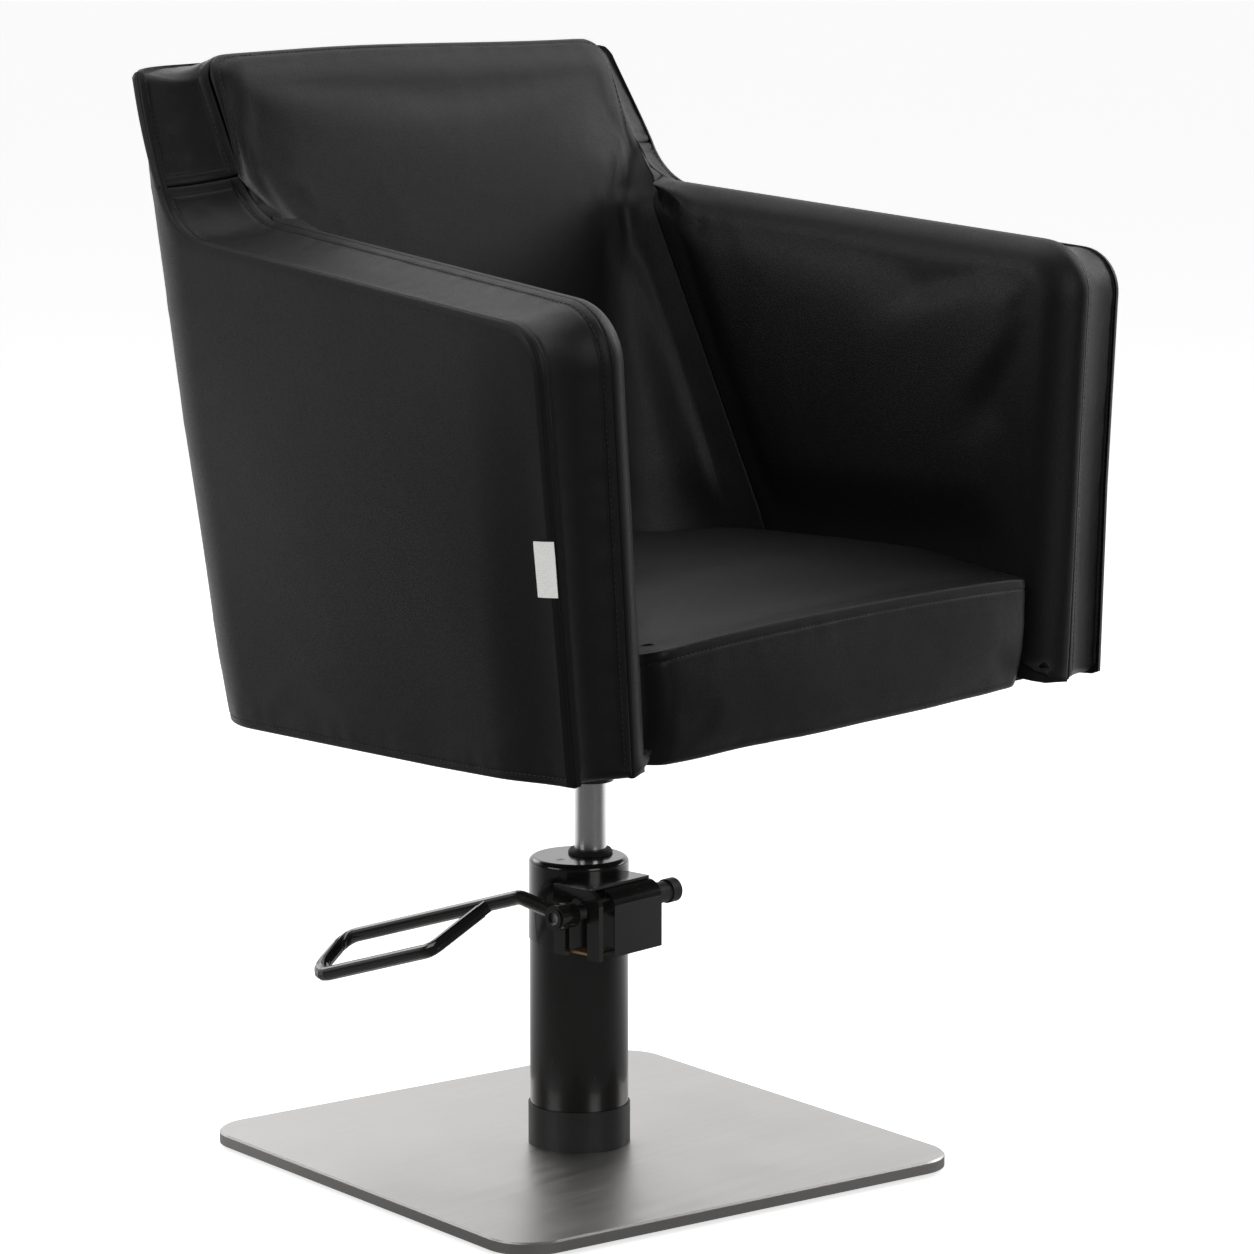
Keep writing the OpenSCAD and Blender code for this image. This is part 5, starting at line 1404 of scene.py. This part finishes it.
class ChairBackPanel(bpy.types.Operator):
    """Cover the rear of the shell between its two corner seams"""
    bl_idname = "chair.back_panel"
    bl_label = "Back panel"

    def execute(self, context):
        seams = chair_seams()
        span = outer_turn_s(90, panel_middle_z) + corner_centre(panel_middle_z)[0] - side_turn_s
        shares = [a / span for a in seam_rows]
        shares += [mix(shares[-1], 0.2, i / 5) for i in range(1, 6)]
        shares += [0.2 + 0.8 * i / 30 for i in range(1, 31)]
        height = top_outer_z - floor_at(back_rear)
        tops = [1 - a / height for a in seam_rows]
        hs = [0.45 * a / height for a in seam_rows] + [0.03 + (tops[-1] - 0.04) * i / 56 for i in range(57)]
        hs = sorted(hs + tops)
        points = []
        for h in hs:
            z = mix(floor_at(back_rear), top_outer_z, h)
            end_s = outer_turn_s(90, z) + corner_centre(z)[0]
            row = []
            for p in shares:
                crown = skin_crown * (0.35 + 0.65 * p) * sind(180 * h) * ease(p, 0, 0.2)
                row.append(skin_point(mix(side_turn_s, end_s, p), z, crown))
            row[-1][0] = 0
            points += row + [flip(p) for p in reversed(row[:-1])]
        faces = grid_faces(len(hs), 2 * len(shares) - 1)
        low = [Vector((x, back_y(floor_at(back_rear)), floor_at(back_rear))) for x in range(-240, 241, 10)]
        names = ("back_outer", "rear_corner")
        used = [Seam(low, rear_hem_depth, hem_stitch)]
        for side in (1, -1):
            used += side_seams(seams, names, side, ("back_outer",))
        high = wrinkle()

        def relief(p):
            return creases(p, 70, high, (0.8, 1, 0.8), 41.1) * 0.25 + 1.2 * noise.noise(Vector(p) / 160)

        piece = sheet("upholstered_back_panel", points, faces, lambda p: Vector((0, 1, 0)), used, 6, relief)
        dress(piece, leather(), ["back_panel"])
        return {"FINISHED"}


# The seat cushion

def cushion_half(y, z):
    return pad_x(y, z) - soft_gap * 2


def cushion_rear(share, z):
    r = tub_at(z)
    cx, cy = tub_centre(z)
    x = abs(share) * cushion_half(face_y(z) - r, z)
    side = max(0, x - cx)
    return cy + math.sqrt(max(0, r ** 2 - min(side, r) ** 2)) - soft_gap * 2


cushion_face_h = seat_seam_z - floor_z - cushion_wrap
corner_share = 0.88
corner_rest = 0.12
corner_draw_back = 15.0
corner_drop = 7.0
seam_corner_drop = 2.45
rim_drop = 4.0
front_crown = 0.35
wrap_set = 4.0
face_bulge = 3.4
rear_roll_share = 0.9


def cushion_column(sx, face_steps, top_shares):
    """One line over the cushion from its lower front edge to its rear, at a share of the half width."""
    lip_z = floor_z + cushion_wrap
    edge = max(0, abs(sx) - corner_share) / corner_rest
    z1 = (seat_seam_z + seat_crown * (1 - sx ** 2) * front_crown - rim_drop * sx ** 6
          - seam_corner_drop * edge ** 2)
    rear = cushion_rear(sx, seat_seam_z)
    y1 = -seat_front + cushion_draw * sx ** 4
    y1 += corner_draw_back * ease(abs(sx), corner_share, 1) ** 2
    row = []
    for k in range(7):
        turn = 90 * k / 6
        y = y1 + wrap_set + cushion_wrap * (1 - sind(turn))
        z = lip_z - cushion_wrap * cosd(turn)
        row.append(Vector((sx * (cushion_half(y1, z) - 2), y, z)))
    for d in face_steps[1:]:
        share = keep(d / cushion_face_h, 0, 1)
        z = mix(lip_z, z1, share)
        y = y1 + wrap_set * (1 - share) ** 2 - face_bulge * math.sin(math.pi * share ** 0.8)
        row.append(Vector((sx * (cushion_half(y1, z) - 2), y, z)))
    for sy in top_shares:
        y = mix(y1, rear - cushion_draw, sy)
        rise = cushion_edge * min(1, 3.4 * sy) ** 0.8
        crown = seat_crown * (1 - sx ** 2) * (front_crown + (1 - front_crown) * sind(180 * sy))
        z = seat_seam_z + rise + crown - rim_drop * sx ** 6
        z -= corner_drop * edge ** 2 * (front_crown + (1 - front_crown) * min(1, 3 * sy))
        if sy > rear_roll_share:
            z -= cushion_edge * (sy - rear_roll_share) / (1 - rear_roll_share)
        row.append(Vector((sx * (cushion_half(y, z) - 1), y, z)))
    return row


def cushion_shares():
    half = [1, 0.996, 0.99, 0.982, 0.972, 0.96, 0.945, 0.925, 0.9, 0.87]
    half += [0.84 - 0.84 * i / 28 for i in range(29)]
    return half + [-s for s in reversed(half[:-1])]


def cushion_front_line():
    """The seam between the cushion's front and its top."""
    return [cushion_column(sx, [0, 1000], [])[-1] for sx in cushion_shares()]


class ChairSeatCushion(bpy.types.Operator):
    """Make the seat cushion with its boxed front edge"""
    bl_idname = "chair.seat_cushion"
    bl_label = "Seat cushion"

    def execute(self, context):
        face_steps = [0, 1, 2.5, 5, 9, 14, 20, 27, 34, 41, 48, 55, 61, 66]
        face_steps += sorted(cushion_face_h - a for a in seam_rows if cushion_face_h - a > 67)
        depth = seat_front + lumbar_y
        tops = [a / depth for a in seam_rows[1:]] + [0.055, 0.07, 0.09, 0.115]
        tops += [0.14 + 0.76 * i / 34 for i in range(35)] + [0.93, 0.96, 0.985, 1]
        columns = [cushion_column(sx, face_steps, tops) for sx in cushion_shares()]
        points = [p for c in columns for p in c]
        faces = grid_faces(len(columns), len(columns[0]))
        seam = chair_seams()["cushion_front"]
        high = wrinkle()

        def relief(p):
            front = 1 - ease(p[1], -seat_front, -210)
            side = ease(abs(p[0]), 150, 230)
            return (creases(p, 55, high, (1, 1, 1), 51.9) * (0.2 + 0.7 * side * front)
                    + 1.2 * noise.noise(Vector(p) / 90))

        def outward(p):
            return Vector((0, -1, 0)) if p[2] < 480 else Vector((0, 0, 1))

        piece = sheet("upholstered_seat_cushion", points, faces, outward, [seam], 12, relief,
                      swollen("seat_cushion", points, faces, outward, [seam]))
        dress(piece, leather(), ["seat_cushion"])
        return {"FINISHED"}


# The threads

def stitch_run(bm, points, normals, looks):
    """Short rounded lengths of thread laid along a line of points."""
    pitch, length = looks.stitch_pitch / MM, looks.stitch_length / MM
    r = looks.thread_width / MM / 2
    run = run_lengths(points)
    place = list(zip(run, points))
    lean = list(zip(run, normals))
    sides = 6
    profile = ((0.0, 0.35, -0.25), (0.16, 0.9, 0.25), (0.5, 1.0, 0.45), (0.84, 0.9, 0.25), (1.0, 0.35, -0.25))
    for k in range(int(run[-1] / pitch)):
        start = k * pitch + 0.4
        a, b = lookup(start, place), lookup(start + length, place)
        n = lookup(start + length / 2, lean).normalized()
        t = (b - a).normalized()
        w = t.cross(n).normalized()
        rings = []
        for share, thick, lift in profile:
            c = mix(a, b, share) + n * r * lift
            around = [w * math.cos(math.tau * j / sides) + n * math.sin(math.tau * j / sides)
                      for j in range(sides)]
            rings.append([bm.verts.new((c + a_way * r * thick) * MM) for a_way in around])
        for one, two in zip(rings, rings[1:]):
            for j in range(sides):
                i = (j + 1) % sides
                bm.faces.new((one[j], one[i], two[i], two[j]))
        bm.faces.new(list(reversed(rings[0])))
        bm.faces.new(rings[-1])


class ChairStitching(bpy.types.Operator):
    """Topstitch the borders, the back pad, the rear corners, the lower edges and the cushion's front"""
    bl_idname = "chair.stitching"
    bl_label = "Stitching"

    def execute(self, context):
        looks = bpy.context.scene.chair_upholstery
        bm = bmesh.new()
        trees = {}
        seams = chair_seams()
        lines = []
        for side in (1, -1):
            tag = "right" if side > 0 else "left"
            lines += [
                ("arm_inner", "arm_border_" + tag, side), ("arm_outer", "arm_border_" + tag, side),
                ("cross", "arm_border_" + tag, side), ("cross", "back_border", side),
                ("back_inner", "back_border", side), ("back_inner", "back_pad", side),
                ("back_outer", "back_border", side), ("low_fold", "side_panel_" + tag, side),
                ("rear_corner", "side_panel_" + tag, side), ("rear_corner", "back_panel", side),
            ]
        lines.append(("cushion_front", "seat_cushion", 1))
        for seam_name, piece_name, side in lines:
            if piece_name not in trees:
                trees[piece_name] = skin_tree(piece_name)
            seam = seams[seam_name]
            points = resample([settle(p if side > 0 else flip(p)) for p in seam.points], place_pitch)
            for line in stitch_places(points, trees[piece_name], seam.stitch, piece_name, side):
                stitch_run(bm, [p for p, _ in line], [n for _, n in line], looks)
        threads = add_object("topstitching", smooth_mesh("topstitching", bm))
        dress(threads, thread_material("black_thread", looks), [])
        return {"FINISHED"}


def skin_tree(piece_name):
    """The faces of a piece of upholstery, in millimetres, for finding places on it."""
    mesh = bpy.data.objects["upholstered_" + piece_name].data
    points = [v.co / MM for v in mesh.vertices]
    return bvhtree.BVHTree.FromPolygons(points, [p.vertices for p in mesh.polygons])


place_pitch = 4.0
place_search = 7.0
place_slack = 3.5


def stitch_places(points, tree, offset, piece_name, side):
    """Lines on a piece at a fixed distance from a seam, as places with the leather's normal at each."""
    runs, now = [], []
    last = len(points) - 1
    for i, p in enumerate(points):
        a, b = points[max(0, i - 1)], points[min(last, i + 1)]
        along = (b - a).normalized()
        away = into_piece(piece_name, p, side)
        away = (away - along * away.dot(along)).normalized()
        place, normal = None, None
        if 0 < i < last:
            place, normal = tree.find_nearest(p + away * offset, place_search)[:2]
        if place is not None and abs((place - p).length - offset) < place_slack:
            now.append((place, normal))
        elif now:
            runs.append(now)
            now = []
    runs.append(now)
    return [run for run in runs if len(run) > 2]


def into_piece(piece_name, p, side):
    """Direction from a seam into a piece, over its outer face."""
    if "border" in piece_name:
        return (strip_middle(p) - p).normalized()
    if piece_name == "back_pad":
        if p[2] > back_top_z - 2:
            return Vector((0, -1, -0.12))
        return Vector((-side * 0.5, -0.8, -0.2))
    if piece_name.startswith("side_panel"):
        if p[2] < floor_z + 8:
            return Vector((0, 0, 1))
        return Vector((side * 0.4, -0.4, 0))
    if piece_name == "back_panel" and p[2] <= top_outer_z - 12:
        return Vector((-side, 0.5, 0))
    return Vector((0, 0, -1))


strip_pairs = zip(arm_inner_3d + border_half_inner, arm_outer_3d + border_half_outer)
strip_half = [(a + b) / 2 for a, b in strip_pairs]
strip_mids = kd_tree(strip_half + [flip(p) for p in strip_half])


def strip_middle(p):
    """The nearest place on the middle line of the border strips."""
    return strip_mids.find(p)[0]


# The blank tag: how far it starts from its seam, stands off, curls, waves and hangs lower at its free edge

tag_root = 0.4
tag_lift = 0.9
tag_curl = 0.8
tag_wave = 0.4
tag_slant = 1.5
tag_reach = 60.0


class ChairSeamTag(bpy.types.Operator):
    """Fold the blank woven tag into the left arm's outer seam"""
    bl_idname = "chair.seam_tag"
    bl_label = "Seam tag"

    def execute(self, context):
        looks = bpy.context.scene.chair_upholstery
        low, high = (Vector(corner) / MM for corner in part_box("seam_tag"))
        skin = [skin_tree(name) for name in ("side_panel_left", "arm_border_left")]
        seam = [(p[2], p[1]) for p in (settle(flip(q)) for q in arm_outer_3d) if p[2] < 700]
        across, upright = 22, 26
        width = high[1] - low[1]
        points = []

        def face(y, z):
            start = Vector((low[0] - tag_reach, y, z))
            hits = [tree.ray_cast(start, Vector((1, 0, 0)))[0] for tree in skin]
            return min(hit[0] for hit in hits if hit)

        for i in range(across + 1):
            u = i / across
            for j in range(upright + 1):
                z = mix(low[2], high[2], j / upright)
                root = lookup(z, seam)
                y = root + tag_root + width * u
                out = min(face(root + a, z) for a in (1, 2, 3, 5, 7, 9, 12, 15, width, width + 2))
                curl = tag_curl * math.sin(u * math.pi * 0.9) ** 2
                stand = tag_lift + curl + tag_wave * noise.noise(Vector((u * 2, z * 0.07, 0.3)))
                points.append(Vector((out - stand * ease(u, -0.1, 0.15), y, z - tag_slant * u)))
        faces = grid_faces(across + 1, upright + 1)
        piece = sheet("folded_seam_tag", points, faces, lambda p: Vector((-1, 0, 0)), [], 0.7, shell=False)
        tape = cloth_material("white_tape", tuple(looks.tag_color), 0.00055)
        dress(piece, tape, ["seam_tag"])
        return {"FINISHED"}


# The stand and the inner frame keep their CAD shapes and get their finishes

class ChairMetalwork(bpy.types.Operator):
    """Give every CAD piece of the stand, the lever and the inner frame its finish"""
    bl_idname = "chair.metalwork"
    bl_label = "Stand and frame finishes"

    def execute(self, context):
        metal = bpy.context.scene.chair_metal
        coat = tuple(metal.coat_color)
        black = (0.012, 0.012, 0.012)
        finishes = {
            "stainless": brushed_material("brushed_stainless", tuple(metal.plate_color),
                                          metal.plate_roughness, (5.0, 1100.0, 1100.0), 0.1, 0.00004),
            "chrome": brushed_material("ground_chrome", tuple(metal.chrome_color), 0.16,
                                       (900.0, 900.0, 30.0), 0.06, 0.00003),
            "zinc_steel": brushed_material("zinc_plate", (0.55, 0.55, 0.56), 0.32,
                                           (300.0, 300.0, 40.0), 0.1, 0.00005),
            "bronze": brushed_material("turned_bronze", (0.56, 0.40, 0.2), 0.3,
                                       (300.0, 300.0, 60.0), 0.1, 0.00005),
            "gloss_black": coated_material("gloss_black_coat", coat, 0.16, 0.1, 0.35),
            "matt_black": coated_material("matt_black_coat", black, 0.5, 0.3, 0.0, 0.0012),
            "black_plastic": coated_material("moulded_black", (0.012, 0.012, 0.0125),
                                             0.45, 0.35, 0.0, 0.0008),
            "black_rubber": coated_material("soft_black", (0.01, 0.01, 0.01), 0.6, 0.2, 0.0, 0.001),
            # Plywood in a dark brown, so that the board and frames show dark in the gaps between the pads
            "plywood": ply_material("dark_plywood", (0.05, 0.036, 0.026)),
            "cover_cloth": cloth_material("dust_cover_cloth", black, 0.0009),
        }
        slots = {s["node"]: s["material_slot"] for s in frame["record"]["subparts"]}
        for name, obj in frame["nodes"].items():
            finish = finishes.get(slots[name])
            if finish is None:
                continue
            for slot in obj.material_slots:
                slot.material = finish
        return {"FINISHED"}


# The studio is dim in the front left and pale in the rear right: the world's light, and painted shade on the
# floor that only reflections see

pale_side = (0.74, 0.67, 0.0)
floor_dim_from, floor_dim_to = -0.4, 1.6
wall_dim_from, wall_dim_to = 0.05, 0.7
floor_dimmest, wall_dimmest = 0.1, 0.06
floor_glow = 0.7
room_fill = 0.3


def toward_pale_side(tree, place):
    """How far a place on the floor, or a direction in the room, lies toward the pale side of the studio."""
    along = put(tree, "ShaderNodeVectorMath", {0: place, 1: pale_side}, operation="DOT_PRODUCT")
    return along.outputs["Value"]


class ChairStage(bpy.types.Operator):
    """Set up the pale floor, the soft lamps and the camera"""
    bl_idname = "chair.stage"
    bl_label = "Stage"

    def execute(self, context):
        stage = bpy.context.scene.chair_stage
        scene = bpy.context.scene
        scene.view_settings.view_transform = "Standard"
        cam = bpy.data.cameras.new("camera")
        cam.lens = stage.camera_lens
        cam.sensor_width = 36
        cam.clip_end = 100
        eye = add_object("camera", cam)
        eye.location = stage.camera_place
        eye.rotation_euler = stage.camera_turn
        scene.camera = eye
        self.make_floor(stage)
        self.make_world()
        # Name, place, aim, size and share of the lamp power
        lamps = (
            ("left_softbox", (-2.6, 0.9, 2.1), (0, 0, 0.6), (1.6, 2.4), 1.0),
            ("front_softbox", (-0.6, -3.2, 1.9), (0, 0, 0.6), (1.4, 2.2), 0.75),
            ("right_softbox", (2.9, -0.9, 2.3), (0, 0, 0.6), (1.6, 2.4), 0.9),
            ("top_softbox", (0.2, 0.3, 3.4), (0, 0, 0.6), (2.4, 2.4), 0.8),
            ("rear_softbox", (0.8, 3.0, 2.2), (0, 0, 0.7), (2.0, 1.6), 0.6),
        )
        for name, place, aim, size, share in lamps:
            data = bpy.data.lights.new(name, "AREA")
            data.shape = "RECTANGLE"
            data.size, data.size_y = size
            data.energy = stage.key_power * share
            lamp = add_object(name, data)
            lamp.location = place
            lamp.rotation_euler = (Vector(aim) - Vector(place)).to_track_quat("-Z", "Y").to_euler()
        return {"FINISHED"}

    def make_floor(self, stage):
        mesh = bpy.data.meshes.new("studio_floor")
        bm = bmesh.new()
        bmesh.ops.create_grid(bm, x_segments=2, y_segments=2, size=14)
        bm.to_mesh(mesh)
        bm.free()
        floor = add_object("studio_floor", mesh)
        mat = bpy.data.materials.new("pale_floor")
        mat.use_nodes = True
        tree = mat.node_tree
        shader = tree.nodes["Principled BSDF"]
        shader.inputs["Roughness"].default_value = 0.85
        shader.inputs["Specular IOR Level"].default_value = 0.1
        path = tree.nodes.new("ShaderNodeLightPath")
        glossy = path.outputs["Is Glossy Ray"]
        seen = sums(tree, "MAXIMUM", path.outputs["Is Camera Ray"], glossy)
        seen = sums(tree, "MAXIMUM", seen, path.outputs["Is Transmission Ray"])
        where = tree.nodes.new("ShaderNodeNewGeometry").outputs["Position"]
        # Painted shade: for glossy rays the floor's colour and glow are darkened toward the front left, where
        # the studio is dim
        pale = toward_pale_side(tree, where)
        floor_reflection_shade = ramp(tree, pale, floor_dim_from, floor_dim_to, floor_dimmest, 1.0)
        dimmed = sums(tree, "MAXIMUM", floor_reflection_shade, sums(tree, "SUBTRACT", 1.0, glossy))
        tint = put(tree, "ShaderNodeVectorMath", {0: tuple(stage.floor_color), "Scale": dimmed},
                   operation="SCALE")
        tree.links.new(tint.outputs[0], shader.inputs["Base Color"])
        strength = sums(tree, "MULTIPLY", sums(tree, "MULTIPLY", seen, floor_glow), dimmed)
        glow = put(tree, "ShaderNodeEmission", {"Strength": strength})
        both = tree.nodes.new("ShaderNodeAddShader")
        tree.links.new(shader.outputs[0], both.inputs[0])
        tree.links.new(glow.outputs[0], both.inputs[1])
        tree.links.new(both.outputs[0], tree.nodes["Material Output"].inputs["Surface"])
        mesh.materials.append(mat)

    def make_world(self):
        world = bpy.data.worlds.new("studio")
        bpy.context.scene.world = world
        world.use_nodes = True
        tree = world.node_tree
        back = tree.nodes["Background"]
        back.inputs["Color"].default_value = (1, 1, 1, 1)
        path = tree.nodes.new("ShaderNodeLightPath")
        seen = sums(tree, "MAXIMUM", path.outputs["Is Camera Ray"], path.outputs["Is Transmission Ray"])
        where = tree.nodes.new("ShaderNodeTexCoord").outputs["Generated"]
        pale = toward_pale_side(tree, where)
        wall_tone = ramp(tree, pale, wall_dim_from, wall_dim_to, wall_dimmest, 1.0)
        shine = sums(tree, "MULTIPLY", path.outputs["Is Glossy Ray"], wall_tone)
        seen = sums(tree, "MAXIMUM", seen, shine)
        fill = sums(tree, "MULTIPLY", path.outputs["Is Diffuse Ray"], room_fill)
        tree.links.new(sums(tree, "MAXIMUM", seen, fill), back.inputs["Strength"])


operators = (
    ChairStage, ChairMetalwork, ChairSeatCushion, ChairArmPads, ChairBackPad, ChairArmBorders,
    ChairBackBorder, ChairSidePanels, ChairBackPanel, ChairStitching, ChairSeamTag,
)


class ChairPanel(bpy.types.Panel):
    """The chair's pieces, in the order in which they are made"""
    bl_idname = "VIEW3D_PT_salon_chair"
    bl_label = "Salon chair"
    bl_space_type = "VIEW_3D"
    bl_region_type = "UI"
    bl_category = "Salon chair"

    def draw(self, context):
        layout = self.layout
        scene = context.scene
        for title, settings in (("Upholstery", scene.chair_upholstery), ("Metal", scene.chair_metal),
                                ("Stage", scene.chair_stage)):
            box = layout.box()
            box.label(text=title)
            for name in settings.bl_rna.properties.keys():
                if name not in ("rna_type", "name"):
                    box.prop(settings, name)
        for operator in operators:
            layout.operator(operator.bl_idname)


classes = (ChairUpholsterySettings, ChairMetalSettings, ChairStageSettings) + operators + (ChairPanel,)


def register():
    for cls in classes:
        bpy.utils.register_class(cls)
    bpy.types.Scene.chair_upholstery = bpy.props.PointerProperty(type=ChairUpholsterySettings)
    bpy.types.Scene.chair_metal = bpy.props.PointerProperty(type=ChairMetalSettings)
    bpy.types.Scene.chair_stage = bpy.props.PointerProperty(type=ChairStageSettings)


def unregister():
    del bpy.types.Scene.chair_stage
    del bpy.types.Scene.chair_metal
    del bpy.types.Scene.chair_upholstery
    for cls in reversed(classes):
        bpy.utils.unregister_class(cls)


def plain(bounds):
    return [[float(v) for v in corner] for corner in bounds]


def main():
    register()
    for operator in operators:
        group, name = operator.bl_idname.split(".")
        getattr(getattr(bpy.ops, group), name)()


if __name__ == "__main__":
    main()
